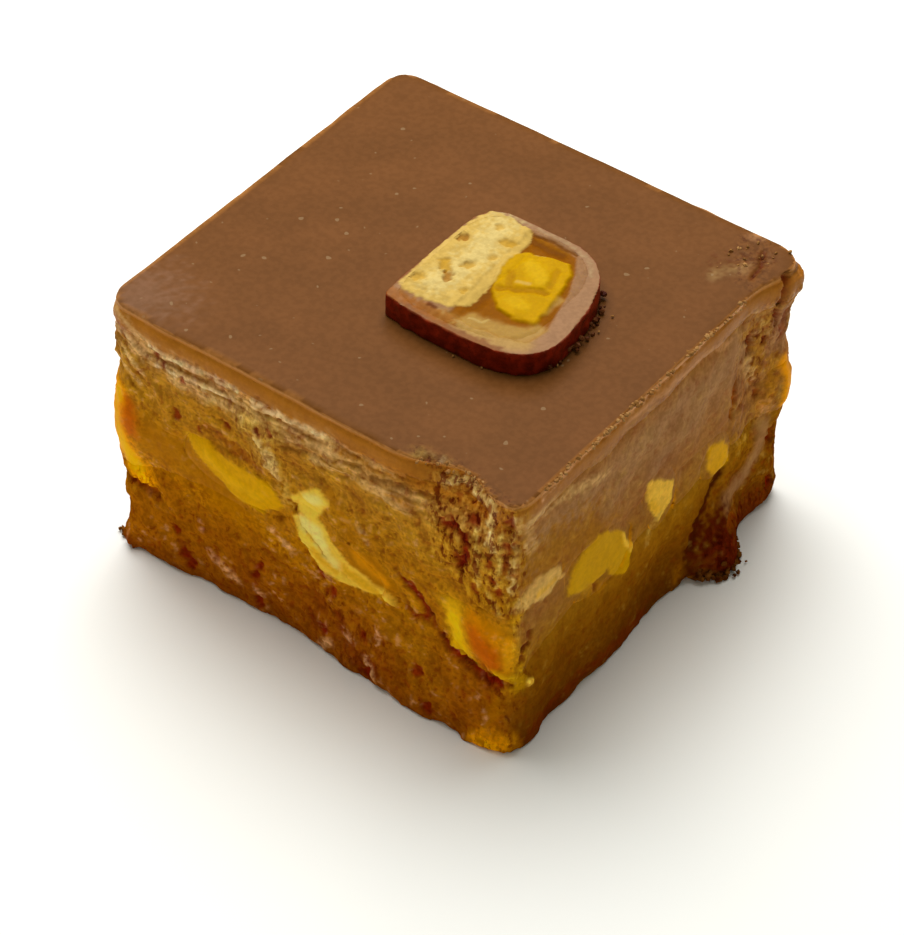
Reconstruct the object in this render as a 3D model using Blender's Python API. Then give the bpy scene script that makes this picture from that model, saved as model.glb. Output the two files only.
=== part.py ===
"""A square of layered fudge, cut with a knife: a fudge base, a caramel layer with pieces of biscuit
and caramel in it, a second fudge layer and a smooth chocolate icing. One slice of a chocolate-coated
biscuit and caramel bar lies on top. Metres, +Z up, the foot on Z 0, the square centred on the origin.
"""

import math

import bmesh
import bpy
from mathutils import Vector, noise

MM = 0.001

# Driving dimensions of the cut square
WIDTH = 50.0 * MM
DEPTH = 47.0 * MM
HEIGHT = 32.6 * MM
ICING = 2.6 * MM
CARAMEL = 4.4 * MM
CARAMEL_MIDDLE = 15.8 * MM
SEAM = 0.3 * MM

# How finely a layer is meshed: coarse inside, fine along the cut sides
INNER_CELLS = 8
SIDE_STEPS = 4
BASE_ROWS = 8
CARAMEL_ROWS = 3
UPPER_ROWS = 6
ICING_ROWS = 3
CORNER_ROUNDING = 0.4 * MM
ICING_RIM = 1.2 * MM
ICING_RIM_DRAW = 0.75 * MM
ICING_RIM_REACH = 3.5 * MM

# Unevenness of the seams between layers and of the cut sides: height or depth, and its scale
SEAM_SWAY = (1.6 * MM, 22.0 * MM)
ICING_FOOT_SWAY = (0.35 * MM, 7.0 * MM)
ICING_TOP_SWAY = (0.12 * MM, 16.0 * MM)
SIDE_SWAY = (0.5 * MM, 11.0 * MM)
SIDE_CRAGS = (0.5 * MM, 3.2 * MM)
ICING_CALM = 0.3

# The four cut sides: the axis across the side, which end of it, and the axis along the side
SIDES = {
    "front": (1, -1, 0),
    "right": (0, 1, 1),
    "back": (1, 1, 0),
    "left": (0, -1, 1),
}

# Where the caramel wells up at a corner: x, y, reach, rise of its top, drop of its underside
CARAMEL_WELLS = (
    (-25.0, -23.5, 6.0, 3.6, 2.4),
    (25.0, -23.5, 6.5, 0.6, 3.2),
    (25.0, 23.5, 5.5, 1.2, 0.4),
    (-25.0, 23.5, 6.0, 0.8, 1.8),
)

# Swellings and hollows of a cut side: side, place along, height, reach along, reach up, height out
SIDE_SWELLS = (
    ("front", 15.5, 1.0, 9.5, 5.5, 1.6),
    ("front", -22.0, 1.0, 4.0, 4.0, 0.7),
    ("front", -23.5, 17.5, 3.2, 4.6, 0.9),
    ("front", 22.5, 14.0, 3.6, 3.4, 0.8),
    ("front", -4.0, 26.0, 3.5, 3.5, 0.6),
    ("front", 18.0, 31.5, 4.2, 2.2, -2.4),
    ("right", 10.5, 1.5, 3.4, 4.2, 3.4),
    ("right", 21.0, 30.5, 3.6, 3.0, 1.5),
    ("right", -22.0, 0.5, 3.0, 4.0, 0.5),
    ("right", 22.5, 16.0, 3.0, 3.2, 0.8),
    ("right", 1.5, 3.0, 6.0, 4.0, -0.7),
    ("right", 16.0, 24.0, 2.6, 8.0, -0.7),
    ("back", -12.0, 2.0, 7.0, 5.0, 1.1),
    ("back", 9.0, 24.5, 5.0, 4.0, -0.7),
    ("back", 22.5, 16.0, 3.4, 3.4, 0.7),
    ("left", -21.5, 17.5, 3.2, 4.6, 0.8),
    ("left", 8.0, 2.0, 7.0, 4.5, 1.0),
    ("left", 19.5, 15.0, 3.4, 3.6, 0.8),
    ("left", -4.0, 25.0, 6.0, 4.0, 0.5),
)

# Pieces set in the caramel and cut flush: kind, side, along, height, length, breadth, tilt in degrees
PIECES = (
    ("caramel", "front", -9.2, 17.9, 13.0, 5.0, -9.0),
    ("biscuit", "front", 1.2, 21.9, 3.8, 2.8, 35.0),
    ("biscuit", "front", 4.2, 15.4, 12.2, 3.9, -31.0),
    ("biscuit", "right", -19.2, 20.2, 6.0, 3.4, -14.0),
    ("caramel", "right", -9.8, 15.9, 10.4, 6.4, -20.0),
    ("biscuit", "right", 0.6, 16.6, 7.6, 4.2, -74.0),
    ("caramel", "right", 10.6, 14.6, 5.0, 4.0, -70.0),
    ("biscuit", "back", -13.0, 16.4, 10.0, 5.2, 12.0),
    ("caramel", "back", 1.0, 15.6, 9.0, 4.6, -14.0),
    ("biscuit", "back", 14.0, 17.2, 7.0, 4.8, 30.0),
    ("caramel", "left", -11.0, 16.2, 8.0, 4.4, -12.0),
    ("biscuit", "left", 3.0, 16.8, 11.0, 5.0, 9.0),
)
PIECE_DEPTH = 4.5 * MM
PIECE_PROUD = 0.35 * MM
PIECE_SQUARENESS = 3.4
PIECE_LUMPS = 0.22
LUMP_SCALE = 5.0 * MM
PAST_THE_SIDE = 6.0 * MM

# The crack in the right side, from its open foot to its closed tip, and how far it goes in
CRACK_FOOT = (6.2, -0.6)
CRACK_TIP = (11.4, 12.6)
CRACK_WIDTH = 1.3 * MM
CRACK_TIP_SHARE = 0.15
CRACK_DEPTH = 2.6 * MM
CRACK_TIP_DEPTH = 1.3 * MM

# The bar slice on top
SLICE_CENTRE = (6.9 * MM, -0.6 * MM)
SLICE_HALF_ACROSS = 8.8 * MM
SLICE_HALF_ALONG = 8.9 * MM
SLICE_THICKNESS = 2.7 * MM
SLICE_POINTS = 40
SLICE_SLANT = 0.17
SLICE_FOOT_SQUARENESS = 6.5
SLICE_DOME_SQUARENESS = 2.9
COAT_THIN = 0.7 * MM
COAT_THICK = 2.4 * MM
COAT_THICK_TURN = 0.25
FILLING_SINK = 0.3 * MM
BISCUIT_MIDDLE = -4.9 * MM
BISCUIT_HALF_ACROSS = 3.7 * MM
BISCUIT_HALF_ALONG = 7.8 * MM
BISCUIT_SQUARENESS = 5.0
BISCUIT_SLANT = 0.10
BISCUIT_RIPPLE = (0.45 * MM, 2.3 * MM)
# Pores of the biscuit's cut face and lumps of the caramel's: x, y, radius
PORES = (
    (-1.0, 3.4, 0.75),
    (2.7, 5.5, 0.8),
    (0.6, -2.9, 0.85),
    (2.0, -0.6, 0.7),
    (1.6, -4.4, 0.7),
    (3.6, 1.6, 0.55),
)
CARAMEL_LUMPS = (
    (9.4, 2.3, 2.7),
    (9.8, -1.9, 2.5),
)
LUMP_SINK = 0.5 * MM
LUMP_FLATNESS = 0.36
PORE_RISE = 0.1 * MM

COLOURS = {
    "base_fudge": ((0.200, 0.070, 0.012), 0.55),
    "upper_fudge": ((0.270, 0.115, 0.022), 0.55),
    "icing": ((0.212, 0.084, 0.030), 0.42),
    "caramel": ((0.560, 0.190, 0.012), 0.22),
    "biscuit": ((0.760, 0.520, 0.190), 0.75),
    "coat": ((0.120, 0.030, 0.010), 0.35),
}


def clear_scene():
    for old in list(bpy.data.objects):
        bpy.data.objects.remove(old, do_unlink=True)


def new_collection(name, parent):
    made = bpy.data.collections.new(name)
    parent.children.link(made)
    return made


def finish_of(kind):
    """The food's material, made once for each kind."""
    name = kind + "_finish"
    if name in bpy.data.materials:
        return bpy.data.materials[name]
    made = bpy.data.materials.new(name)
    made.use_nodes = True
    shader = made.node_tree.nodes["Principled BSDF"]
    colour, roughness = COLOURS[kind]
    shader.inputs["Base Color"].default_value = (*colour, 1.0)
    shader.inputs["Roughness"].default_value = roughness
    shader.inputs["Metallic"].default_value = 0.0
    return made


def settle(obj, name, collection, kind=None):
    """Names an object and moves it into its collection."""
    obj.name = name
    for old in list(obj.users_collection):
        old.objects.unlink(obj)
    collection.objects.link(obj)
    if kind:
        obj.data.materials.clear()
        obj.data.materials.append(finish_of(kind))
    return obj


# Heights of the layers' seams

def bell(distance):
    return math.exp(-distance * distance)


def wave(x, y, sway, seed):
    height, scale = sway
    return height * noise.noise(Vector((x / scale, y / scale, seed)))


def caramel_middle(x, y):
    return CARAMEL_MIDDLE + wave(x, y, SEAM_SWAY, 3.7)


def well(x, y, column):
    """How far the caramel wells up (column 3) or sinks (column 4) at a place."""
    total = 0.0
    for spot in CARAMEL_WELLS:
        distance = math.hypot(x / MM - spot[0], y / MM - spot[1]) / spot[2]
        total += spot[column] * MM * bell(distance)
    return total


def foot_height(x, y):
    return 0.0


def base_height(x, y):
    return caramel_middle(x, y) - CARAMEL / 2 - well(x, y, 4)


def caramel_height(x, y):
    return caramel_middle(x, y) + CARAMEL / 2 + well(x, y, 3)


def fudge_height(x, y):
    return HEIGHT - ICING + wave(x, y, ICING_FOOT_SWAY, 9.1)


def icing_height(x, y):
    return HEIGHT + wave(x, y, ICING_TOP_SWAY, 5.3)


# Relief of the cut sides

def side_relief(side, along, height):
    """How far a cut side stands out from the true square, at a place along it and a height."""
    seed = 10.0 * list(SIDES).index(side)
    nearness = min(1.0, max(0.0, (HEIGHT - height) / (2 * ICING)))
    calm = ICING_CALM + (1 - ICING_CALM) * nearness
    out = calm * wave(along, height, SIDE_SWAY, seed)
    out += calm * wave(along, height, SIDE_CRAGS, seed + 4.0)
    for where, place, level, reach, rise, bulge in SIDE_SWELLS:
        if where == side:
            across = math.hypot((along / MM - place) / reach, (height / MM - level) / rise)
            out += bulge * MM * bell(across)
    return out


def relieved(x, y, z, unit):
    """Moves a point that lies on one or two cut sides out or in by their relief."""
    spot = [x, y]
    for side, (across, end, along) in SIDES.items():
        if abs(unit[across] - end) < 1e-4:
            spot[across] += end * side_relief(side, (x, y)[along], z)
    if abs(abs(unit[0]) - 1) < 1e-4 and abs(abs(unit[1]) - 1) < 1e-4:
        spot[0] -= unit[0] * CORNER_ROUNDING
        spot[1] -= unit[1] * CORNER_ROUNDING
    return spot


def square_plan(mesh):
    """The square seen from above, as triangles that are fine along its cut sides."""
    bmesh.ops.create_grid(mesh, x_segments=INNER_CELLS, y_segments=INNER_CELLS, size=1.0)
    rim = [edge for edge in mesh.edges if edge.is_boundary]
    bmesh.ops.subdivide_edges(mesh, edges=rim, cuts=SIDE_STEPS - 1)
    bmesh.ops.triangulate(mesh, faces=mesh.faces, ngon_method="BEAUTY")


def layer(name, kind, collection, low, high, rows, open_foot=False, open_top=False):
    """One layer of the square: its plan raised from one height function to the next."""
    mesh = bmesh.new()
    square_plan(mesh)
    raised = bmesh.ops.extrude_face_region(mesh, geom=list(mesh.faces), use_keep_orig=True)
    tops = [item for item in raised["geom"] if isinstance(item, bmesh.types.BMVert)]
    bmesh.ops.translate(mesh, verts=tops, vec=(0, 0, 1))
    upright = [edge for edge in mesh.edges if abs(edge.verts[0].co.z - edge.verts[1].co.z) > 0.5]
    bmesh.ops.subdivide_edges(mesh, edges=upright, cuts=rows - 1, use_grid_fill=True)
    for vert in mesh.verts:
        unit = vert.co.copy()
        x, y = unit.x * WIDTH / 2, unit.y * DEPTH / 2
        bottom, top = low(x, y), high(x, y)
        spot = relieved(x, y, bottom + unit.z * (top - bottom), unit)
        bottom += 0.0 if open_foot else SEAM / 2
        top -= 0.0 if open_top else SEAM / 2
        vert.co = (spot[0], spot[1], bottom + unit.z * (top - bottom))
    bmesh.ops.triangulate(mesh, faces=mesh.faces, quad_method="SHORT_EDGE")
    bmesh.ops.recalc_face_normals(mesh, faces=mesh.faces)
    made = bpy.data.objects.new(name, bpy.data.meshes.new(name))
    mesh.to_mesh(made.data)
    mesh.free()
    collection.objects.link(made)
    return settle(made, name, collection, kind)


def soften_icing(block):
    """Draws the icing's top edge in, so that its rim is round."""
    for vert in block.data.vertices:
        down = HEIGHT - vert.co.z
        if down < ICING_RIM:
            draw_in = ICING_RIM_DRAW * (1 - down / ICING_RIM) ** 2
            for axis, half in ((0, WIDTH / 2), (1, DEPTH / 2)):
                if abs(vert.co[axis]) > half - ICING_RIM_REACH:
                    vert.co[axis] -= math.copysign(draw_in, vert.co[axis])


# Pieces in the cut sides

def side_frame(side, along, height):
    """A point on the true cut side, and the side's out and along directions."""
    across, end, run = SIDES[side]
    spot, out, direction = Vector(), Vector(), Vector()
    spot[across] = end * (DEPTH, WIDTH)[across == 0] / 2
    spot[run] = along
    spot.z = height
    out[across] = end
    direction[run] = 1.0
    return spot, out, direction


def rounded_box(unit):
    """A point of the unit sphere pushed out towards a rounded box."""
    reach = sum(abs(value) ** PIECE_SQUARENESS for value in unit) ** (1 / PIECE_SQUARENESS)
    return unit / reach


def piece_in_side(name, collection, spec, grown, reach_out, kind=None):
    """A lumpy piece, or with grown above 0 its pocket, that stops at a height out of the side."""
    _, side, along, height, length, breadth, tilt = spec
    spot, out, direction = side_frame(side, along * MM, height * MM)
    bpy.ops.mesh.primitive_uv_sphere_add(segments=14, ring_count=8, radius=1.0)
    piece = settle(bpy.context.active_object, name, collection, kind)
    turn = math.radians(tilt)
    run = math.cos(turn) * direction + math.sin(turn) * Vector((0, 0, 1))
    rise = -math.sin(turn) * direction + math.cos(turn) * Vector((0, 0, 1))
    for vert in piece.data.vertices:
        unit = vert.co.normalized()
        lump = 1 + PIECE_LUMPS * noise.noise(unit * 1.6 + spot / LUMP_SCALE)
        box = rounded_box(unit) * lump
        place = spot + box.x * (length * MM / 2 + grown) * run + box.y * (breadth * MM / 2 + grown) * rise
        depth = box.z * (PIECE_DEPTH + grown)
        skin = side_relief(side, place.dot(direction), place.z)
        if depth > skin + reach_out:
            depth = skin + reach_out
        vert.co = place + depth * out
    return face_out(piece)


def face_out(obj):
    """Turns an object's faces to point outwards, as triangles split the same way in like shapes."""
    mesh = bmesh.new()
    mesh.from_mesh(obj.data)
    bmesh.ops.remove_doubles(mesh, verts=mesh.verts, dist=1e-6)
    bmesh.ops.triangulate(mesh, faces=mesh.faces, quad_method="FIXED")
    bmesh.ops.recalc_face_normals(mesh, faces=mesh.faces)
    if mesh.calc_volume(signed=True) < 0:
        bmesh.ops.reverse_faces(mesh, faces=mesh.faces)
    mesh.to_mesh(obj.data)
    mesh.free()
    return obj


def hide_cutter(obj):
    obj.hide_render = True
    obj.display_type = "WIRE"
    return obj


def crack_wedge(collection):
    """A thin wedge along the crack, widest at the foot of the square."""
    foot, out, _ = side_frame("right", CRACK_FOOT[0] * MM, CRACK_FOOT[1] * MM)
    tip, _, _ = side_frame("right", CRACK_TIP[0] * MM, CRACK_TIP[1] * MM)
    run = tip - foot
    cross = out.cross(run.normalized())
    bpy.ops.mesh.primitive_cube_add(size=2.0)
    wedge = settle(bpy.context.active_object, "crack_cutter", collection)
    for vert in wedge.data.vertices:
        share = (vert.co.z + 1) / 2
        half = CRACK_WIDTH / 2 * (1 - (1 - CRACK_TIP_SHARE) * share)
        inward = CRACK_DEPTH + (CRACK_TIP_DEPTH - CRACK_DEPTH) * share
        depth = PAST_THE_SIDE if vert.co.x > 0 else -inward
        vert.co = foot + share * run + vert.co.y * half * cross + depth * out
    return hide_cutter(face_out(wedge))


# The bar slice

def bar_outline(inset_of):
    """The bar's section, square at its biscuit foot and domed at its caramel side, drawn in by a wall."""
    outline = []
    for step in range(SLICE_POINTS):
        angle = 2 * math.pi * step / SLICE_POINTS
        inset = inset_of(angle)
        power = SLICE_FOOT_SQUARENESS if math.cos(angle) < 0 else SLICE_DOME_SQUARENESS
        half_across, half_along = SLICE_HALF_ACROSS - inset, SLICE_HALF_ALONG - inset
        reach = abs(math.cos(angle) / half_across) ** power
        reach += abs(math.sin(angle) / half_along) ** power
        radius = reach ** (-1 / power)
        x, y = radius * math.cos(angle), radius * math.sin(angle)
        slant = SLICE_SLANT * max(0.0, x) / SLICE_HALF_ACROSS
        outline.append((x - slant * y, y))
    return outline


def coat_wall(angle):
    """The coat's thickness: thin under the biscuit, thick over the caramel's dome."""
    dome = max(0.0, math.cos(angle + COAT_THICK_TURN)) ** 2
    return COAT_THIN + (COAT_THICK - COAT_THIN) * dome


def slab(name, outlines, z, thickness, collection, kind=None):
    """A flat solid from closed outlines: the first is the rim and any other is a hole."""
    curve = bpy.data.curves.new(name, "CURVE")
    curve.dimensions = "2D"
    curve.fill_mode = "BOTH"
    curve.extrude = thickness / 2
    for outline in outlines:
        spline = curve.splines.new("POLY")
        spline.points.add(len(outline) - 1)
        spline.use_cyclic_u = True
        for point, (x, y) in zip(spline.points, outline):
            point.co = (x + SLICE_CENTRE[0], y + SLICE_CENTRE[1], 0.0, 1.0)
    drawn = bpy.data.objects.new(name + "_curve", curve)
    drawn.location.z = z + thickness / 2
    collection.objects.link(drawn)
    bpy.context.view_layer.update()
    graph = bpy.context.evaluated_depsgraph_get()
    mesh = bpy.data.meshes.new_from_object(drawn.evaluated_get(graph))
    made = bpy.data.objects.new(name, mesh)
    made.matrix_world = drawn.matrix_world
    bpy.data.objects.remove(drawn)
    collection.objects.link(made)
    return settle(face_out(made), name, collection, kind)


def shrunk(outline, gap):
    """An outline drawn in towards its middle by about a gap."""
    made = []
    for x, y in outline:
        share = 1 - gap / math.hypot(x, y)
        made.append((x * share, y * share))
    return made


def biscuit_outline(grown):
    """The biscuit's section: a rounded bar along the slice's straight side."""
    outline = []
    for step in range(SLICE_POINTS):
        angle = 2 * math.pi * step / SLICE_POINTS
        across, along = BISCUIT_HALF_ACROSS + grown, BISCUIT_HALF_ALONG + grown
        reach = abs(math.cos(angle) / across) ** BISCUIT_SQUARENESS
        reach += abs(math.sin(angle) / along) ** BISCUIT_SQUARENESS
        radius = reach ** (-1 / BISCUIT_SQUARENESS)
        x, y = radius * math.cos(angle), radius * math.sin(angle)
        if x > 0:
            x += BISCUIT_RIPPLE[0] * math.sin(y / BISCUIT_RIPPLE[1]) - BISCUIT_SLANT * y
        outline.append((x + BISCUIT_MIDDLE, y))
    return outline


def cut(target, tool, operation):
    boolean = target.modifiers.new(operation.lower() + "_" + tool.name, "BOOLEAN")
    boolean.operation = operation
    boolean.solver = "EXACT"
    boolean.object = tool


def cut_by_all(target, collection):
    boolean = target.modifiers.new("cut_by_" + collection.name, "BOOLEAN")
    boolean.operation = "DIFFERENCE"
    boolean.solver = "EXACT"
    boolean.operand_type = "COLLECTION"
    boolean.collection = collection


def small_ball(name, place, radius, flatness, collection):
    bpy.ops.mesh.primitive_uv_sphere_add(segments=10, ring_count=6, radius=radius, location=place)
    ball = settle(bpy.context.active_object, name, collection)
    ball.scale.z = flatness
    return hide_cutter(ball)


def bar_slice(collection, cutters):
    foot = HEIGHT + SEAM + ICING_TOP_SWAY[0]
    top = foot + SLICE_THICKNESS
    wall = bar_outline(coat_wall)
    slab("slice_coat", (bar_outline(lambda angle: 0.0), wall), foot, SLICE_THICKNESS, collection, "coat")
    inside = shrunk(wall, SEAM)
    filled = slab("filling_cutter", (inside,), foot - MM, SLICE_THICKNESS + 2 * MM, cutters)
    biscuit = slab("slice_biscuit", (biscuit_outline(0.0),), foot, SLICE_THICKNESS, collection, "biscuit")
    grown = slab("biscuit_cutter", (biscuit_outline(SEAM),), foot - MM, SLICE_THICKNESS + 2 * MM, cutters)
    caramel = slab("slice_caramel", (inside,), foot, SLICE_THICKNESS - FILLING_SINK, collection, "caramel")
    for tool in (filled, grown):
        hide_cutter(tool)
    cut(biscuit, filled, "INTERSECT")
    cut(caramel, grown, "DIFFERENCE")
    for number, (x, y, radius) in enumerate(CARAMEL_LUMPS, 1):
        place = (x * MM, y * MM, top - LUMP_SINK)
        lump = small_ball(f"lump_{number}", place, radius * MM, LUMP_FLATNESS, cutters)
        cut(caramel, lump, "UNION")
    pores = new_collection("biscuit pores", cutters)
    for number, (x, y, radius) in enumerate(PORES, 1):
        small_ball(f"pore_{number}", (x * MM, y * MM, top + PORE_RISE), radius * MM, 1.0, pores)
    cut_by_all(biscuit, pores)


def main():
    clear_scene()
    parts = new_collection("fudge square", bpy.context.scene.collection)
    tools = new_collection("cutters", bpy.context.scene.collection)
    pockets = new_collection("side pockets", tools)
    base = layer("base_fudge", "base_fudge", parts, foot_height, base_height, BASE_ROWS, open_foot=True)
    caramel = layer("caramel_layer", "caramel", parts, base_height, caramel_height, CARAMEL_ROWS)
    upper = layer("upper_fudge", "upper_fudge", parts, caramel_height, fudge_height, UPPER_ROWS)
    icing = layer("chocolate_icing", "icing", parts, fudge_height, icing_height, ICING_ROWS, open_top=True)
    soften_icing(icing)
    for number, spec in enumerate(PIECES, 1):
        name = f"{spec[0]}_piece_{number:02d}"
        piece_in_side(name, parts, spec, 0.0, PIECE_PROUD, spec[0])
        hide_cutter(piece_in_side(f"pocket_{number:02d}", pockets, spec, SEAM, PAST_THE_SIDE))
    crack_wedge(pockets)
    for block in (base, caramel, upper):
        cut_by_all(block, pockets)
    bar_slice(parts, tools)


main()
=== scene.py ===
import math
import random

import bpy
import numpy as np
from mathutils import Euler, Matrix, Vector, noise
from mathutils.kdtree import KDTree


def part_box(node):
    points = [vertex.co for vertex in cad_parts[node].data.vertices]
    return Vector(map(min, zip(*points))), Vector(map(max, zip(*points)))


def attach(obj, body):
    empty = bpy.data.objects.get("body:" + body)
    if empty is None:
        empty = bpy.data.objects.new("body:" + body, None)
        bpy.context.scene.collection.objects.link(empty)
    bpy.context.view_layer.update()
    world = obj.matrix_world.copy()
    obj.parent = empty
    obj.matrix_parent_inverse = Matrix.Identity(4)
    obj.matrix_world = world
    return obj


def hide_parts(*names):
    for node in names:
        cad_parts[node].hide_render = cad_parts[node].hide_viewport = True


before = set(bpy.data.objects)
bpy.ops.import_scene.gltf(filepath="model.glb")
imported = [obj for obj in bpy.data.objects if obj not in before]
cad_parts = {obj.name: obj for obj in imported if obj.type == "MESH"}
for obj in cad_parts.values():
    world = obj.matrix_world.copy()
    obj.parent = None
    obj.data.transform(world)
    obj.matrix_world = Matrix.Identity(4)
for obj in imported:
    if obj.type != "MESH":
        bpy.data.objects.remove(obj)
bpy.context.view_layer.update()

# Camera, light and floor
# The square lies on a plain white surface, seen from above its front corner, under soft light that
# comes mostly from above and behind, so that its shadow spreads softly to the front and the right.

# the scene is in metres, and this is a millimetre in it
MM = 0.001
VIEW_AZIMUTH = math.radians(37.34)
VIEW_ELEVATION = math.radians(43.56)
CAMERA_PLACE = Vector((151.6, -199.1, 244.5)) * MM
LENS = 127.1
LIGHT_AIM = Vector((0.0, 0.0, 16.0)) * MM
SKY_PLACE = (-0.118, 0.103, 0.347)
SKY_WIDTH = 0.37
SKY_ENERGY = 2.14
SKY_COLOUR = (1.0, 0.985, 0.968)
ROOM_COLOUR = (0.985, 0.985, 0.835, 1.0)
ROOM_STRENGTH = 0.28
FLOOR_WIDTH = 6.0
FLOOR_DROP = 0.05 * MM
FLOOR_COLOUR = (0.955, 0.968, 0.948, 1.0)

view_direction = Vector((
    -math.sin(VIEW_AZIMUTH) * math.cos(VIEW_ELEVATION),
    math.cos(VIEW_AZIMUTH) * math.cos(VIEW_ELEVATION),
    -math.sin(VIEW_ELEVATION),
))
camera_data = bpy.data.cameras.new("camera")
camera_data.lens = LENS
camera_data.clip_start = 0.01
camera = bpy.data.objects.new("camera", camera_data)
camera.location = CAMERA_PLACE
camera.rotation_euler = view_direction.to_track_quat("-Z", "Y").to_euler()
bpy.context.scene.collection.objects.link(camera)
bpy.context.scene.camera = camera
bpy.context.scene.view_settings.view_transform = "Standard"


def soft_light(name, place, width, energy, colour):
    """A square soft box that faces the food."""
    data = bpy.data.lights.new(name, "AREA")
    data.shape = "SQUARE"
    data.size = width
    data.energy = energy
    data.color = colour
    light = bpy.data.objects.new(name, data)
    light.location = place
    light.rotation_euler = (LIGHT_AIM - Vector(place)).to_track_quat("-Z", "Y").to_euler()
    bpy.context.scene.collection.objects.link(light)


def plain_finish(name, roughness, gloss):
    """A new finish with no pattern yet, and its shader."""
    finish = bpy.data.materials.new(name)
    finish.use_nodes = True
    shader = finish.node_tree.nodes["Principled BSDF"]
    shader.inputs["Roughness"].default_value = roughness
    shader.inputs["Specular IOR Level"].default_value = gloss
    return finish, shader


soft_light("sky_box", SKY_PLACE, SKY_WIDTH, SKY_ENERGY, SKY_COLOUR)
world = bpy.data.worlds.new("room")
world.use_nodes = True
world.node_tree.nodes["Background"].inputs["Color"].default_value = ROOM_COLOUR
world.node_tree.nodes["Background"].inputs["Strength"].default_value = ROOM_STRENGTH
bpy.context.scene.world = world

bpy.ops.object.select_all(action="DESELECT")
bpy.ops.mesh.primitive_plane_add(size=FLOOR_WIDTH, location=(0.0, 0.0, -FLOOR_DROP))
floor = bpy.context.active_object
floor.name = "floor"
floor_finish, floor_shader = plain_finish("floor_finish", 0.6, 0.2)
floor_shader.inputs["Base Color"].default_value = FLOOR_COLOUR
floor.data.materials.append(floor_finish)


# The cut sides
# One knife stroke cut all four layers, so a side is one torn surface: smears, drag lines and crumbs
# run from layer to layer. They are told here once, in millimetres, and every layer takes its part.

# each side has the number of the axis that it faces along, and 1 or -1 for the way that it faces
SIDES = {"front": (1, -1), "right": (0, 1), "back": (1, 1), "left": (0, -1), "top": (2, 1)}
# how much light falls on each side, by which a look is divided to get the colour of the food itself
SIDE_LIGHT = {"front": 0.605, "right": 0.615, "back": 0.79, "left": 0.79, "top": 1.58, "slice": 1.57}
# how each shade looks under that light, in red, green and blue up to 255
SHADES = {
    "foot": (116, 58, 3), "base": (133, 74, 4), "base_top": (142, 84, 5), "smear": (156, 98, 4),
    "olive": (152, 99, 10), "upper": (154, 104, 22), "under_lip": (148, 100, 36),
    # the right side's foot, base and smear, and its duller gold, are painted darker than the front's, for
    # the shade on that side
    "icing_side": (148, 90, 20), "shaded_foot": (84, 41, 3), "shaded_base": (114, 67, 4),
    "shaded_smear": (132, 86, 12), "grey_brown": (132, 85, 39), "grey": (138, 98, 60),
    # rim is a painted highlight, the light caught by the icing's edge
    "warm_brown": (137, 87, 9), "rim": (184, 124, 64), "crumb": (190, 136, 90), "pale": (184, 144, 88),
    "paler": (200, 170, 122), "flake": (196, 162, 92), "patch": (174, 136, 56), "gold": (187, 134, 0),
    "dull_gold": (174, 127, 6), "yellow": (200, 150, 8), "light_yellow": (221, 173, 54),
    "pale_yellow": (232, 192, 108), "orange_yellow": (206, 132, 0), "orange": (170, 76, 0),
    "deep_orange": (168, 74, 0), "amber": (149, 91, 0), "rust": (122, 58, 4), "red": (100, 34, 4),
    # the pit, crack and hollow colours are painted shade, darkening the recesses that they mark
    "pit": (104, 13, 3), "crack_shadow": (50, 7, 2), "shaded_hollow": (102, 27, 3), "groove": (104, 58, 8),
    "icing": (129, 80, 37), "sheen": (156, 114, 86), "lit_orange": (236, 154, 0), "toe": (66, 12, 2),
    "coat": (96, 21, 5), "cut_coat": (176, 130, 90), "thin_coat": (150, 92, 46), "biscuit": (232, 192, 98),
    "biscuit_light": (245, 219, 142), "pore": (214, 160, 34), "deep_pore": (172, 108, 8),
    "crust": (172, 100, 24), "slice_amber": (158, 92, 4), "slice_brown": (128, 70, 6),
    # the brightest gold and the glint are painted highlights on the slice's caramel
    "slice_gold": (222, 168, 4), "bright_gold": (240, 192, 26), "cream": (204, 162, 84),
    "glint": (240, 208, 130),
}
# marks in these shades have clean edges and no grain, and marks in the ragged ones break up
SMOOTH_SHADES = ("gold", "dull_gold", "yellow", "light_yellow", "pale_yellow", "orange_yellow", "orange",
                 "deep_orange", "amber", "grey", "grey_brown", "lit_orange", "slice_amber", "slice_brown",
                 "slice_gold", "bright_gold", "cream", "glint")
RAGGED_SHADES = ("rim", "crumb", "pale", "paler", "patch")
# the shade of each side under its marks, at heights in millimetres
GROUNDS = {
    "front": ((0.0, "foot"), (4.0, "base"), (10.5, "base_top"), (14.0, "smear"), (20.0, "olive"),
              (25.0, "upper"), (28.5, "under_lip"), (30.0, "icing_side")),
    # the right side's fudge is painted darker than the front's, for the shade on that side
    "right": ((0.0, "shaded_foot"), (9.0, "shaded_base"), (13.0, "shaded_smear"), (19.0, "grey_brown"),
              # the grey high on the right side is a painted sheen, the bright room reflected in its smooth
              # cut
              (27.0, "grey"), (30.0, "grey_brown"), (33.0, "icing_side")),
    "top": ((0.0, "icing"),),
    "slice": ((0.0, "cut_coat"),),
}
GROUNDS["back"] = GROUNDS["front"]
GROUNDS["left"] = GROUNDS["front"]

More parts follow.
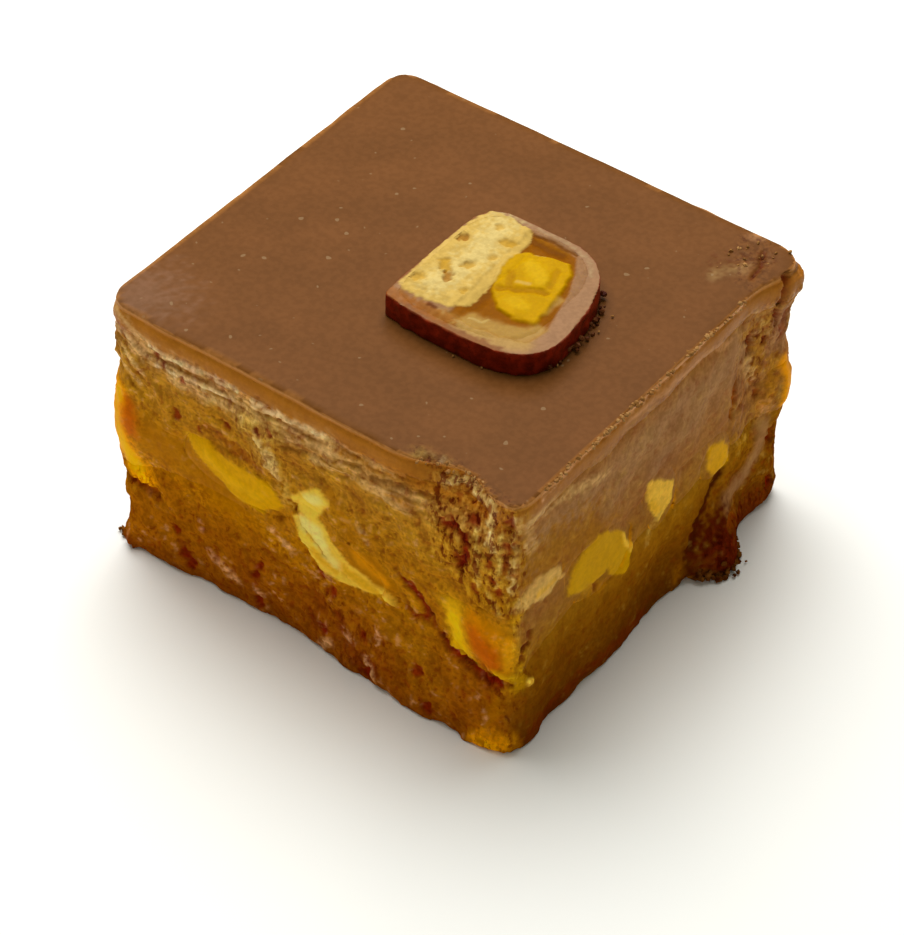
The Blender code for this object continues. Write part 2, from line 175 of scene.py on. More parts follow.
# each mark: where it runs, its half width, its shade, how strong it is and how far it stands out;
# one whose line is closed fills its area, and a porous one gives pores instead of a shade
MARKS = {"front": [], "right": [], "back": [], "left": [], "top": []}
MARKS["front"] += [
    # caramel that wells out at the left corner, and the smear that the knife drew from it; its brightest
    # part is painted brighter than the caramel's own colour, for light that its turned face gets little of
    ([(-19.5, 17.0), (-14.0, 17.0), (-10.0, 14.5)], 3.2, "amber", 0.8, 0.0),
    ([(-24.9, 21.6), (-24.3, 15.5), (-23.1, 12.6), (-21.8, 10.8)], 1.5, "lit_orange", 0.95, 0.12),
    ([(-23.0, 20.6), (-22.7, 17.4)], 1.2, "deep_orange", 0.85, 0.0),
    ([(-24.4, 21.8), (-23.9, 20.6)], 0.8, "lit_orange", 0.9, 0.1),
    # drag lines at the left corner
    ([(-24.8, 32.0), (-22.6, 31.4), (-20.8, 30.4)], 0.55, "pale", 0.9, 0.06),
    ([(-24.8, 29.8), (-22.6, 29.4), (-19.5, 28.2)], 0.38, "paler", 0.75, 0.1),
    ([(-24.8, 27.6), (-23.0, 27.2), (-20.5, 25.6)], 0.34, "pale", 0.95, 0.1),
    ([(-24.8, 26.0), (-23.0, 25.0), (-21.2, 23.8)], 0.32, "pale", 0.8, 0.08),
    ([(-24.8, 28.7), (-22.0, 28.1), (-19.8, 27.0)], 0.26, "groove", 0.59, -0.14),
    ([(-24.8, 26.8), (-22.6, 26.1), (-20.6, 24.7)], 0.26, "groove", 0.56, -0.12),
    ([(-24.8, 24.9), (-22.8, 23.8), (-21.4, 22.8)], 0.28, "groove", 0.49, -0.12),
    # the scraped band under the icing and its lines
    ([(-21.0, 29.0), (-9.0, 28.5), (3.0, 29.1)], 1.4, "pale", 0.95, 0.02),
    ([(3.0, 28.6), (14.0, 28.0)], 0.9, "pale", 0.4, 0.0),
    ([(-19.4, 30.0), (-17.2, 29.6), (-12.5, 29.9), (-8.5, 30.1)], 0.42, "paler", 0.95, 0.12),
    ([(-6.2, 29.6), (-1.5, 30.0), (2.7, 30.0)], 0.42, "paler", 0.95, 0.12),
    ([(2.7, 30.0), (7.0, 29.9), (11.0, 29.7)], 0.32, "pale", 0.7, 0.06),
    ([(-18.5, 28.1), (-14.0, 28.0), (-9.0, 28.5)], 0.4, "paler", 0.7, 0.08),
    ([(-17.0, 27.0), (-12.8, 26.7), (-8.6, 27.3)], 0.65, "pale", 0.7, 0.04),
    ([(-18.0, 28.8), (-13.0, 28.9), (-8.0, 29.2)], 0.24, "groove", 0.56, -0.12),
    ([(-5.8, 28.9), (-2.0, 29.1), (2.6, 29.2)], 0.24, "groove", 0.59, -0.14),
    ([(-2.6, 25.9), (-0.6, 26.8), (2.6, 27.4), (6.0, 28.4), (9.6, 28.2), (13.5, 28.9), (15.6, 29.1)],
     0.27, "groove", 0.63, -0.2),
    ([(-1.8, 27.4), (1.0, 28.3), (4.0, 28.8)], 0.35, "pale", 0.8, 0.08),
    ([(1.3, 26.5), (5.0, 27.0), (8.7, 26.9), (12.6, 26.2)], 0.6, "pale", 0.7, 0.05),
    ([(9.2, 27.4), (11.8, 27.9)], 0.4, "pale", 0.7, 0.04),
    # the pale crumbly patch and its two flakes
    ([(-7.4, 26.8), (-4.0, 27.6)], 1.5, "patch", 0.75, 0.04),
    ([(-6.0, 24.8), (-2.8, 21.0), (-2.2, 18.8)], 1.1, "patch", 0.7, 0.0),
    ([(-5.8, 25.6), (-5.0, 25.2)], 0.55, "flake", 0.9, 0.16),
    ([(-4.3, 24.5), (-3.8, 22.0)], 0.75, "flake", 0.9, 0.14),
    ([(-12.6, 22.8), (-9.2, 21.9), (-6.0, 21.3)], 0.75, "rust", 0.7, -0.1),
    ([(-15.0, 24.5), (-9.0, 24.6)], 1.2, "olive", 0.5, 0.0),
    # the lumps of caramel and biscuit, with the smears around them
    ([(-15.4, 20.2), (-13.2, 20.5), (-8.8, 19.6), (-4.5, 19.7), (-3.4, 18.0), (-4.0, 16.6),
      (-6.2, 15.6), (-9.2, 15.3), (-12.0, 17.2), (-14.5, 18.8), (-15.4, 20.2)], 0.35, "gold", 0.95, 0.1),
    ([(-12.5, 19.0), (-9.6, 17.2), (-6.2, 17.4)], 0.7, "yellow", 0.5, 0.1),
    ([(-1.3, 19.9), (1.4, 22.3), (2.6, 21.6), (1.2, 18.9), (-0.8, 18.0), (-1.3, 19.9)],
     0.35, "light_yellow", 0.95, 0.05),
    ([(0.5, 20.6), (1.3, 20.9)], 0.75, "pale_yellow", 0.75, 0.06),
    ([(4.6, 16.8), (8.6, 16.6), (10.8, 14.4), (7.5, 13.0), (4.6, 16.8)], 0.5, "amber", 0.95, 0.0),
    ([(6.2, 16.2), (9.4, 14.6)], 0.85, "orange_yellow", 0.55, 0.0),
    ([(-1.3, 16.8), (1.0, 18.6), (2.4, 17.0), (4.2, 14.9), (7.8, 13.3), (9.6, 12.5), (8.6, 12.2),
      (4.9, 12.1), (2.0, 12.4), (-0.4, 14.2), (-1.3, 16.8)], 0.35, "light_yellow", 0.9, 0.05),
    ([(-0.3, 16.9), (1.1, 16.5), (1.9, 15.2)], 0.85, "pale_yellow", 0.8, 0.06),
    ([(2.6, 14.3), (3.9, 13.5)], 0.6, "pale_yellow", 0.6, 0.06),
    ([(4.8, 13.5), (8.6, 12.4)], 0.75, "gold", 0.75, 0.0),
    ([(3.6, 12.6), (0.8, 14.0)], 0.45, "gold", 0.6, 0.0),
    ([(9.2, 12.9), (10.5, 12.3)], 0.5, "light_yellow", 0.75, 0.3),
    ([(6.6, 20.6), (7.8, 18.9)], 0.4, "pale", 0.6, 0.04),
    ([(3.0, 22.5), (6.0, 18.2)], 0.9, "amber", 0.5, 0.0),
    # the caramel at the front corner and the deep gaps under it, painted dark for the shade in them
    ([(20.0, 16.6), (24.6, 16.6)], 0.9, "amber", 0.8, 0.0),
    ([(20.6, 16.4), (23.0, 15.6), (24.8, 13.6)], 1.5, "orange_yellow", 0.6, 0.0),
    ([(20.8, 14.6), (22.2, 13.4), (23.6, 12.6)], 2.0, "orange", 0.9, 0.08),
    ([(24.8, 15.6), (25.0, 11.6)], 0.7, "orange_yellow", 0.9, 0.08),
    ([(18.0, 16.2), (18.5, 14.2), (19.3, 11.8)], 1.5, "yellow", 0.95, 0.12),
    ([(18.2, 15.2), (19.0, 12.4)], 0.85, "slice_gold", 0.75, 0.04),
    ([(23.6, 11.0), (25.2, 10.5)], 0.6, "yellow", 0.9, 0.25),
    ([(11.6, 16.3), (13.4, 15.3), (14.9, 13.6), (14.6, 12.6), (13.0, 12.0), (12.2, 12.6)],
     0.48, "pit", 0.95, -0.3),
    ([(14.9, 13.0), (16.4, 11.4), (17.3, 10.8)], 0.34, "red", 0.85, -0.26),
    ([(17.0, 11.0), (18.3, 10.2), (19.4, 10.0)], 0.8, "pit", 1.0, -0.55),
    ([(20.4, 9.6), (22.0, 8.9), (23.5, 9.2)], 1.1, "pit", 1.0, -0.6),
    # the porous front corner, with its pits painted dark for the shade in them
    ([(15.2, 31.6), (25.2, 32.2), (25.2, 19.6), (21.0, 19.6), (16.4, 23.0), (15.2, 31.6)],
     1.0, "porous", 1.0, 0.0),
    ([(21.4, 10.2), (25.2, 8.0), (25.2, 0.4), (22.8, 1.0)], 1.3, "porous", 0.8, 0.0),
    ([(-8.6, 26.6), (-4.4, 27.0), (-3.0, 22.8), (-6.6, 22.6)], 1.5, "porous", 0.6, 0.0),
    ([(-19.0, 28.6), (-9.0, 27.4)], 0.9, "porous", 0.4, 0.0),
    ([(-24.0, 8.4), (-21.4, 10.6)], 1.1, "porous", 0.8, 0.0),
    ([(2.4, 8.4), (9.4, 4.4), (4.8, 1.6)], 1.9, "porous", 0.6, 0.0),
    ([(16.8, 26.9), (18.2, 27.5), (19.5, 26.3), (19.7, 24.5), (18.9, 22.6)], 0.56, "pit", 0.95, -0.36),
    ([(18.6, 23.6), (19.0, 22.8)], 0.8, "pit", 0.85, -0.3),
    ([(16.8, 25.6), (17.4, 23.2)], 0.9, "olive", 0.5, 0.1),
    ([(19.7, 31.3), (22.0, 31.8), (22.0, 29.7), (22.6, 26.8)], 0.42, "flake", 0.85, 0.1),
    ([(16.0, 31.0), (18.2, 31.7), (19.8, 31.4)], 0.45, "flake", 0.8, 0.08),
    ([(20.6, 28.4), (21.2, 25.0), (21.0, 21.5)], 0.34, "patch", 0.9, 0.08),
    ([(23.4, 29.0), (23.6, 25.5), (23.0, 22.0)], 0.34, "patch", 0.9, 0.08),
    ([(24.8, 31.5), (24.9, 27.0), (24.6, 22.0)], 0.36, "flake", 0.8, 0.06),
    ([(22.2, 20.8), (23.6, 18.6)], 0.5, "patch", 0.7, 0.08),
    # the foot, with its pits painted dark for the shade in them
    ([(-7.0, 4.6), (2.0, 6.0), (8.4, 4.4)], 3.6, "rust", 0.4, 0.0),
    ([(12.0, 9.5), (15.5, 6.5)], 2.8, "olive", 0.45, 0.0),
    ([(18.4, 6.4), (23.0, 4.6)], 2.8, "rust", 0.4, 0.0),
    # the orange foot of the front corner is painted brighter than its own colour, for light that it gets
    # little of
    ([(22.6, 0.9), (25.4, 1.5)], 1.6, "lit_orange", 0.9, 0.2),
    ([(22.6, 3.6), (23.8, 6.8)], 0.8, "amber", 0.6, 0.0),
    ([(0.6, 7.6), (1.4, 6.0)], 1.2, "red", 0.5, -0.13),
    ([(5.4, 3.0), (6.8, 2.0)], 1.3, "red", 0.55, -0.13),
    ([(-23.9, 9.8), (-22.2, 9.0), (-20.4, 9.2)], 0.5, "pit", 0.8, -0.52),
    ([(-25.4, 0.5), (-24.0, 0.9)], 0.8, "red", 0.9, 0.5),
    ([(-19.5, 8.5), (-16.0, 5.5)], 1.8, "base_top", 0.5, 0.0),
    ([(0.2, 4.4), (1.4, 3.2)], 0.7, "red", 0.7, -0.1),
    ([(3.6, 6.8), (4.4, 6.0)], 0.6, "red", 0.7, -0.1),
    ([(8.2, 3.0), (9.2, 2.0)], 0.7, "red", 0.7, -0.1),
    ([(-17.0, 4.4), (-15.8, 2.4)], 0.7, "red", 0.6, -0.1),
    ([(2.6, 2.2), (1.4, 0.8)], 0.6, "crumb", 0.9, 0.1),
    ([(4.6, 4.7), (5.6, 4.4)], 0.7, "crumb", 0.8, 0.1),
    ([(8.9, 8.0), (8.7, 5.8)], 0.35, "crumb", 0.9, 0.08),
    ([(7.5, 3.4), (8.8, 1.4)], 0.4, "crumb", 0.9, 0.12),
    ([(-13.6, 5.0), (-11.4, 4.0), (-9.6, 3.0)], 0.55, "crumb", 0.8, 0.1),
    ([(-4.8, 13.3), (-2.0, 12.0)], 0.45, "crumb", 0.85, 0.08),
    ([(-14.6, 8.6), (-14.2, 7.6)], 0.3, "crumb", 0.7, 0.04),
    ([(-7.4, 3.6), (-6.6, 2.8)], 0.45, "crumb", 0.8, 0.08),
    ([(22.3, 5.2), (22.5, 3.2)], 0.3, "crumb", 0.6, 0.08),
]
MARKS["right"] += [
    ([(-24.4, 32.0), (-23.4, 25.0), (-24.2, 19.5)], 2.4, "upper", 0.95, 0.0),
    ([(-25.0, 31.0), (-24.0, 25.0), (-24.6, 17.0)], 2.3, "porous", 1.0, 0.0),
    ([(-22.6, 15.0), (-21.6, 8.6)], 1.0, "porous", 0.7, 0.0),
    ([(15.6, 27.6), (18.6, 27.0), (17.8, 20.0)], 1.5, "porous", 0.8, 0.0),
    ([(10.0, 3.0), (20.0, 2.4)], 2.2, "porous", 0.7, 0.0),
    ([(-19.5, 24.0), (-11.0, 21.0)], 3.6, "warm_brown", 0.8, 0.0),
    ([(-6.0, 11.5), (4.0, 11.0)], 1.6, "warm_brown", 0.45, 0.0),
    ([(-6.2, 31.6), (2.3, 31.0), (8.4, 30.4), (13.9, 28.6)], 0.4, "crumb", 0.4, 0.04),
    ([(-21.4, 30.6), (-18.5, 29.9), (-15.3, 29.2), (-9.1, 27.2)], 0.7, "pale", 0.75, 0.05),
    ([(-21.6, 30.0), (-20.9, 26.4)], 0.8, "pale", 0.6, 0.04),
    # a painted grey sheen along the knife's slant, the bright room reflected in the smooth cut
    ([(-1.2, 21.9), (2.1, 23.1), (5.5, 24.0), (8.9, 25.5), (12.6, 28.6)], 1.2, "grey", 0.7, 0.1),
    ([(-9.0, 22.4), (-3.0, 25.0), (4.0, 28.2)], 1.3, "grey", 0.6, 0.05),
    # the lumps of caramel and biscuit
    ([(-23.4, 19.4), (-22.0, 20.8), (-20.2, 21.8), (-17.0, 20.9), (-16.0, 18.8), (-18.2, 18.4),
      (-20.4, 19.0), (-23.4, 19.4)], 0.3, "cream", 0.65, 0.05),
    ([(-20.0, 19.6), (-17.4, 19.4)], 0.4, "gold", 0.5, 0.0),
    ([(-24.4, 18.2), (-22.6, 18.8)], 0.7, "gold", 0.6, 0.0),
    # this gold lump is painted darker than the gold on the front, for the shade on this side
    ([(-15.0, 15.6), (-13.5, 18.6), (-10.6, 19.8), (-8.4, 18.6), (-6.0, 16.8), (-4.6, 13.4),
      (-5.4, 11.2), (-7.4, 12.6), (-8.6, 14.4), (-11.3, 13.6), (-15.0, 15.6)],
     0.35, "dull_gold", 0.95, 0.1),
    ([(-6.0, 16.6), (-4.7, 13.8)], 0.32, "light_yellow", 0.7, 0.1),
    ([(-11.8, 13.4), (-9.0, 12.0)], 0.8, "olive", 0.8, -0.1),
    ([(-2.0, 20.4), (0.4, 19.0), (2.6, 17.1), (2.2, 15.2), (0.6, 13.8), (-0.6, 15.6), (-2.0, 20.4)],
     0.3, "light_yellow", 0.75, 0.1),
    ([(-1.0, 17.0), (0.2, 15.2)], 0.5, "gold", 0.5, 0.0),
    ([(0.8, 14.6), (-0.8, 13.6), (-1.8, 11.9)], 0.5, "patch", 0.8, 0.0),
    ([(8.9, 16.6), (10.6, 16.4), (12.6, 14.7), (12.4, 12.5), (10.4, 12.6), (9.4, 14.0), (8.9, 16.6)],
     0.35, "gold", 0.9, 0.1),
    # caramel at the front corner and at the right corner
    ([(-24.4, 17.0), (-23.2, 12.4), (-22.8, 9.0)], 1.1, "yellow", 0.45, 0.02),
    ([(-25.0, 15.0), (-24.8, 10.5)], 0.6, "orange_yellow", 0.8, 0.05),
    ([(-21.6, 8.8), (-21.1, 8.4)], 0.4, "light_yellow", 0.8, 0.3),
    ([(21.9, 19.8), (22.7, 17.4), (22.3, 14.6)], 0.95, "orange_yellow", 0.95, 0.3),
    ([(20.2, 21.2), (20.2, 17.0)], 0.9, "olive", 0.7, 0.0),
    ([(19.4, 15.6), (19.6, 14.4)], 0.9, "crumb", 0.5, 0.04),
    # the porous strip and the broken lip at the right corner, whose crevices are painted dark for the shade
    # in them
    ([(15.0, 27.8), (18.4, 27.4), (17.6, 21.0)], 1.2, "warm_brown", 0.8, 0.0),
    ([(16.2, 26.4), (16.8, 24.6)], 0.6, "red", 0.95, -0.65),
    ([(14.0, 23.0), (13.5, 20.6), (13.2, 18.4)], 0.45, "rust", 0.95, -0.39),
    ([(16.6, 22.8), (17.0, 19.8)], 0.8, "pale", 0.75, 0.1),
    ([(20.2, 32.8), (19.6, 31.2), (19.2, 28.8), (19.9, 26.6)], 0.42, "red", 0.95, -0.65),
    ([(23.1, 31.8), (23.6, 29.0)], 1.1, "icing_side", 0.7, 0.3),
    ([(21.6, 27.0), (21.4, 23.6)], 0.8, "red", 0.7, -0.26),
    # the grey facet, the torn pockets beside it and the crack; the pockets and the crack are painted dark
    # for the shade in them
    ([(19.4, 12.6), (19.0, 9.6), (16.2, 7.4), (12.6, 7.0)], 1.25, "grey", 0.8, 0.1),
    ([(21.0, 10.6), (21.1, 9.4)], 0.75, "pit", 0.9, -0.72),
    ([(22.3, 7.4), (22.2, 6.4)], 0.6, "red", 0.9, -0.52),
    ([(21.4, 3.6), (21.6, 2.6)], 0.6, "pit", 0.9, -0.59),
    ([(11.7, 11.4), (9.6, 10.4), (7.9, 8.2), (6.6, 5.0), (6.0, 0.8)], 0.7, "crack_shadow", 0.9, -0.13),
    ([(9.0, 2.6), (14.0, 1.8), (19.0, 1.4)], 2.2, "red", 0.6, 0.0),
    ([(10.0, 5.4), (10.6, 1.4), (14.0, 1.0)], 2.8, "toe", 0.95, 0.0),
    ([(12.0, 5.0), (15.0, 4.6)], 0.5, "rust", 0.6, -0.26),
    ([(-21.0, 1.2), (-12.0, 1.6), (-5.5, 1.1), (-1.0, 1.0)], 1.1, "red", 0.65, -0.07),
]
RIM_RUN = [(-19.5, 32.0), (-14.2, 32.3), (-9.8, 32.4), (-5.2, 32.4), (1.4, 32.4), (5.5, 32.5), (10.3, 32.4),
           (14.0, 32.2)]
MARKS["right"].append((RIM_RUN, 0.32, "crumb", 0.95, 0.06))
# the top: a painted sheen at the left corner, where the top reflects the light, the crumbled rim, and the
# chips at the front and right corners, whose hollows are painted dark for the shade in them
MARKS["top"] += [
    ([(-25.0, -23.6), (-22.6, -21.6)], 4.6, "sheen", 0.55, 0.0),
    ([(24.9, y) for y, _ in RIM_RUN], 0.3, "crumb", 0.9, 0.04),
    ([(20.6, 15.8), (22.2, 18.2)], 0.8, "pale", 0.8, 0.08),
    ([(19.6, 22.6), (21.4, 22.8)], 0.35, "crumb", 0.8, 0.05),
    ([(22.6, 21.4), (23.4, 19.6), (23.8, 17.4)], 0.26, "red", 0.85, -0.25),
    ([(19.6, 17.4), (23.0, 20.6)], 1.3, "porous", 0.55, 0.0),
    ([(13.2, -22.6), (16.2, -22.3), (19.6, -22.9)], 1.0, "patch", 0.75, 0.0),
    ([(13.9, -22.7), (16.2, -22.6), (18.8, -22.9)], 0.75, "red", 0.95, -0.25),
    ([(15.2, -21.8), (16.0, -21.7)], 0.3, "paler", 0.9, 0.06),
    ([(17.8, -22.0), (18.6, -22.3)], 0.3, "paler", 0.9, 0.06),
    ([(13.8, -22.4), (16.8, -22.0), (19.2, -22.5)], 1.1, "porous", 0.8, 0.0),
    ([(19.0, -23.2), (23.8, -23.4)], 0.6, "pale", 0.8, 0.04),
    ([(19.0, -23.0), (24.4, -23.4)], 0.9, "porous", 0.6, 0.0),
]
# small pits, painted dark for the shade in them, each with its place and its reach
for x, z, reach in ((-15.3, 27.6, 0.3), (-18.5, 29.0, 0.3), (-17.6, 28.2, 0.3), (-13.6, 21.9, 0.3),
                    (-9.8, 24.5, 0.3), (-5.6, 26.4, 0.3), (-4.1, 27.0, 0.35), (-16.4, 22.6, 0.35),
                    (20.3, 29.0, 0.45), (22.4, 25.0, 0.35), (24.1, 27.7, 0.42), (25.0, 28.8, 0.3),
                    (24.1, 25.0, 0.4), (24.9, 24.4, 0.3), (24.4, 30.8, 0.5), (22.6, 22.8, 0.4),
                    (21.0, 27.4, 0.3), (23.4, 21.4, 0.4), (20.6, 20.6, 0.35), (15.9, 1.6, 0.6),
                    (14.0, 5.5, 0.45), (7.1, 5.9, 0.5), (2.0, 3.7, 0.45), (1.8, 11.2, 0.5), (3.0, 9.2, 0.5),
                    (7.6, 1.1, 0.6), (-16.5, 3.0, 0.45), (-15.8, 1.8, 0.45), (-17.6, 5.7, 0.45),
                    (-7.2, 5.4, 0.5), (-6.6, 7.3, 0.5), (-7.0, 1.5, 0.5)):
    MARKS["front"].append(([(x, z - 0.25), (x, z + 0.25)], 1.15 * reach, "pit", 0.85, -0.5 * reach))
for y, z, reach in ((-22.0, 14.2, 0.4), (-21.3, 15.3, 0.4), (-22.4, 12.5, 0.35), (-24.0, 30.6, 0.4),
                    (-23.1, 28.0, 0.4), (-24.6, 26.9, 0.35), (-24.2, 23.5, 0.35), (15.0, 24.0, 0.3),
                    (18.6, 24.6, 0.4), (18.2, 17.8, 0.4), (-10.4, 12.8, 0.35), (13.4, 2.6, 0.5)):
    MARKS["right"].append(([(y, z - 0.2), (y, z + 0.2)], reach, "red", 0.8, -0.8 * reach))
# the cut face of the bar slice, in x and y: its coat, its caramel with a golden block, its biscuit
MARKS["slice"] = [
    ([(4.2, 6.9), (6.6, 6.9), (9.8, 6.5), (10.9, 4.8), (12.2, 2.0), (13.2, -1.5), (13.9, -4.4),
      (13.2, -6.3), (10.8, -7.1), (8.0, -7.6), (5.2, -7.4), (4.2, 6.9)], 0.3, "slice_amber", 1.0, -0.14),
    ([(4.6, -8.5), (8.4, -8.5), (11.6, -7.9), (13.4, -6.9)], 1.1, "cream", 0.8, 0.0),
    ([(7.2, -6.9), (10.8, -6.3), (12.8, -5.4), (13.3, -4.4)], 0.95, "cream", 0.85, 0.0),
    ([(-1.4, -9.0), (3.0, -9.1), (8.0, -9.3), (12.0, -9.0)], 0.6, "thin_coat", 0.9, 0.0),
    ([(12.0, -3.4), (12.4, 0.6)], 0.45, "cream", 0.7, 0.0),
    ([(4.6, 6.3), (6.2, 6.1), (8.6, 6.2)], 0.6, "slice_brown", 0.8, -0.1),
    ([(5.0, 3.6), (5.2, 0.6), (6.0, -2.6), (6.4, -5.4)], 0.7, "slice_brown", 0.6, -0.05),
    ([(5.3, 6.9), (6.9, 7.0), (9.0, 6.9)], 0.3, "deep_pore", 0.5, 0.0),
    ([(4.8, 2.5), (6.2, 4.1), (9.9, 5.0), (10.8, 4.0), (11.6, 0.9), (11.9, -1.1), (12.2, -3.5),
      (10.3, -3.9), (8.6, -3.7), (6.8, -2.1), (5.6, -0.2), (4.8, 2.5)], 0.5, "slice_gold", 1.0, 0.3),
    # painted highlights: bright gold where the block's facets face the light, and glints on it and on the
    # folds
    ([(7.4, 2.8), (9.6, 1.6)], 0.95, "bright_gold", 0.7, 0.12),
    ([(8.8, -2.5), (10.4, -2.6)], 0.75, "bright_gold", 0.6, 0.05),
    ([(6.7, -1.7), (8.2, -0.9), (9.6, -0.2), (10.8, 0.3)], 0.5, "slice_amber", 0.5, -0.16),
    ([(6.4, 0.8), (7.2, -0.6)], 0.45, "slice_amber", 0.4, -0.08),
    ([(9.9, 3.6), (10.6, 1.4)], 0.45, "slice_amber", 0.35, -0.06),
    ([(7.7, 0.1), (8.7, 0.5)], 0.3, "glint", 0.35, 0.0),
    ([(6.6, 4.6), (7.5, 4.9)], 0.14, "glint", 0.5, 0.02),
    ([(7.0, -6.9), (8.2, -6.5), (8.6, -5.9)], 0.15, "glint", 0.45, 0.02),
    ([(4.3, 7.1), (6.6, 7.3), (9.8, 7.0)], 0.17, "slice_brown", 0.9, -0.1),
    ([(-0.1, 8.2), (3.1, 8.1), (8.1, 8.0), (11.4, 7.1), (12.9, 5.3)], 0.24, "paler", 0.6, 0.0),
    ([(-1.9, -8.6), (-2.2, -1.0), (-2.2, 5.4), (-1.0, 8.0)], 0.5, "thin_coat", 0.9, 0.0),
    ([(-1.6, -8.2), (2.0, -8.4), (5.6, -8.4)], 0.75, "crust", 0.75, 0.0),
    ([(-1.5, 5.2), (-0.8, 7.3), (0.9, 7.5), (3.9, 7.2), (4.9, 5.6), (4.9, 1.7), (5.5, -0.8),
      (5.9, -3.1), (5.7, -5.6), (4.3, -6.6), (2.4, -7.2), (0.1, -7.3), (-1.3, -6.7), (-1.7, -2.8),
      (-1.5, 5.2)], 0.22, "biscuit", 1.0, 0.1),
    ([(1.2, 6.0), (2.2, 0.8), (1.4, -5.0)], 1.7, "biscuit_light", 0.75, 0.0),
    ([(-0.9, -6.2), (3.6, -6.2)], 0.5, "patch", 0.4, -0.05),
    ([(-0.8, 2.2), (-0.5, 2.6)], 0.5, "deep_pore", 0.8, -0.25),
    ([(3.0, 4.2), (3.6, 4.5)], 0.62, "pore", 0.8, -0.2),
    ([(0.2, -1.8), (0.6, -2.2)], 0.6, "pore", 0.85, -0.2),
    ([(1.3, -2.9), (1.8, -3.4)], 0.5, "deep_pore", 0.85, -0.3),
    ([(2.0, -0.9), (2.4, -0.5)], 0.55, "pore", 0.7, -0.25),
    ([(1.2, 5.7), (1.3, 5.9)], 0.4, "pore", 0.6, -0.2),
    ([(-0.7, -5.2), (-0.5, -4.8)], 0.5, "pore", 0.6, -0.25),
    ([(3.5, 1.4), (3.6, 1.7)], 0.35, "pore", 0.6, -0.2),
    ([(4.2, -4.2), (4.3, -3.9)], 0.35, "pore", 0.6, -0.2),
    ([(2.8, -7.7), (3.6, -7.7)], 0.25, "red", 0.7, 0.0),
]
# the hidden sides have the same things in another order
LUMP_OUTLINE = ((-3.1, 0.3), (-1.6, 1.7), (1.2, 1.2), (3.1, -0.5), (1.6, -1.9), (-1.2, -1.3), (-3.1, 0.3))
draw = random.Random(17)
for side, bits in (
        ("back", ((-13.0, 16.4, "light_yellow"), (1.0, 15.6, "gold"), (14.0, 17.2, "light_yellow"))),
        ("left", ((-11.0, 16.2, "gold"), (3.0, 16.8, "light_yellow")))):
    marks = MARKS[side]
    for end in (-1, 1):
        marks.append(([(end * 24.8, 20.0), (end * 24.0, 13.0)], 1.7, "orange_yellow", 0.95, 0.15))
        marks.append(([(end * 22.4, 19.0), (end * 22.0, 15.5)], 1.2, "orange", 0.8, 0.0))
    for run in range(-20, 21, 5):
        height = draw.uniform(14.5, 19.0)
        marks.append(([(run, height), (run + 4.0, height - draw.uniform(0.0, 2.0))], 1.6, "amber", 0.7, 0.0))
        height = 29.5 + draw.uniform(-0.3, 0.4)
        marks.append(([(run - 1.6, height), (run + 1.8, height + 0.2)], 0.4, "paler", 0.9, 0.12))
        marks.append(([(run - 2.0, height - 0.9), (run + 1.6, height - 0.8)], 0.26, "groove", 0.59, -0.14))
        height = 27.2 + draw.uniform(-0.6, 0.5)
        marks.append(([(run - 1.8, height), (run + 2.2, height + 0.3)], 0.6, "pale", 0.7, 0.05))
        # and a thin painted highlight along the icing's rim
        marks.append(([(run, 32.3), (run + 3.0, 32.4)], 0.3, "rim", 0.8, 0.0))
    for _ in range(16):
        run = draw.uniform(-23.0, 23.0)
        height = draw.uniform(20.5, 28.5)
        marks.append(([(run, height), (run + 0.2, height - draw.uniform(0.2, 1.4))],
                      draw.uniform(0.3, 0.55), draw.choice(("red", "flake", "pale", "pit")), 0.85,
                      draw.uniform(-0.3, 0.1)))
    for run, height, shade in bits:
        marks.append(([(run + along, height + up) for along, up in LUMP_OUTLINE], 0.4, shade, 0.95, 0.05))


# The fudge base
# The lowest layer is dark crumbly fudge, poured first and cut with a cold knife, so its sides are
# torn: crumbs stand out, flakes have dropped out and the foot has spread into a rough toe.
SEAM_GROWTH = 0.35 * MM
LAYER_VOXEL = 0.5 * MM
LAYER_SMOOTHING = 2
SEAM_LAP = 0.45 * MM
SEAMS_FROM = 1.5
SEAMS_TO = 31.5
CRAG = 0.28 * MM
GRAIN = 0.12 * MM
TOE_EDGE = 25.0
TOE_TOP = 9.0
RIM_SQUARING = 0.85 * MM
RIM_DEPTH = 0.8 * MM
RIM_HIGHLIGHT_DEPTH = 0.3 * MM
RIM_HIGHLIGHT_WIDTH = 0.19 * MM
ICING_TOP = 32.95
ICING_FOOT = 30.3
PLAIN_SHARE = 0.02
SIDE_CALM = {"front": 0.0, "right": 0.5, "back": 0.1, "left": 0.3, "top": 0.0, "slice": 0.7}
side_surfaces = {side: [] for side in SIDES}


def only(piece):
    """Makes a piece the one that is selected and active."""
    bpy.ops.object.select_all(action="DESELECT")
    piece.select_set(True)
    bpy.context.view_layer.objects.active = piece


def fine_copy(node, name, grown, voxel, smoothing):
    """A merged copy of a node, grown so that its seams close, with an even fine mesh."""
    piece = bpy.data.objects.new(name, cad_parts[node].data.copy())
    piece.data.name = name
    piece.data.materials.clear()
    bpy.context.scene.collection.objects.link(piece)
    only(piece)
    bpy.ops.object.mode_set(mode="EDIT")
    bpy.ops.mesh.select_all(action="SELECT")
    bpy.ops.mesh.remove_doubles(threshold=0.000001)
    bpy.ops.object.mode_set(mode="OBJECT")
    grow = piece.modifiers.new("grow", "DISPLACE")
    grow.strength = grown
    grow.mid_level = 0.0
    remesh = piece.modifiers.new("remesh", "REMESH")
    remesh.mode = "VOXEL"
    remesh.voxel_size = voxel
    smooth = piece.modifiers.new("smooth", "SMOOTH")
    smooth.factor = 0.5
    smooth.iterations = smoothing
    for modifier in list(piece.modifiers):
        bpy.ops.object.modifier_apply(modifier=modifier.name)
    return piece


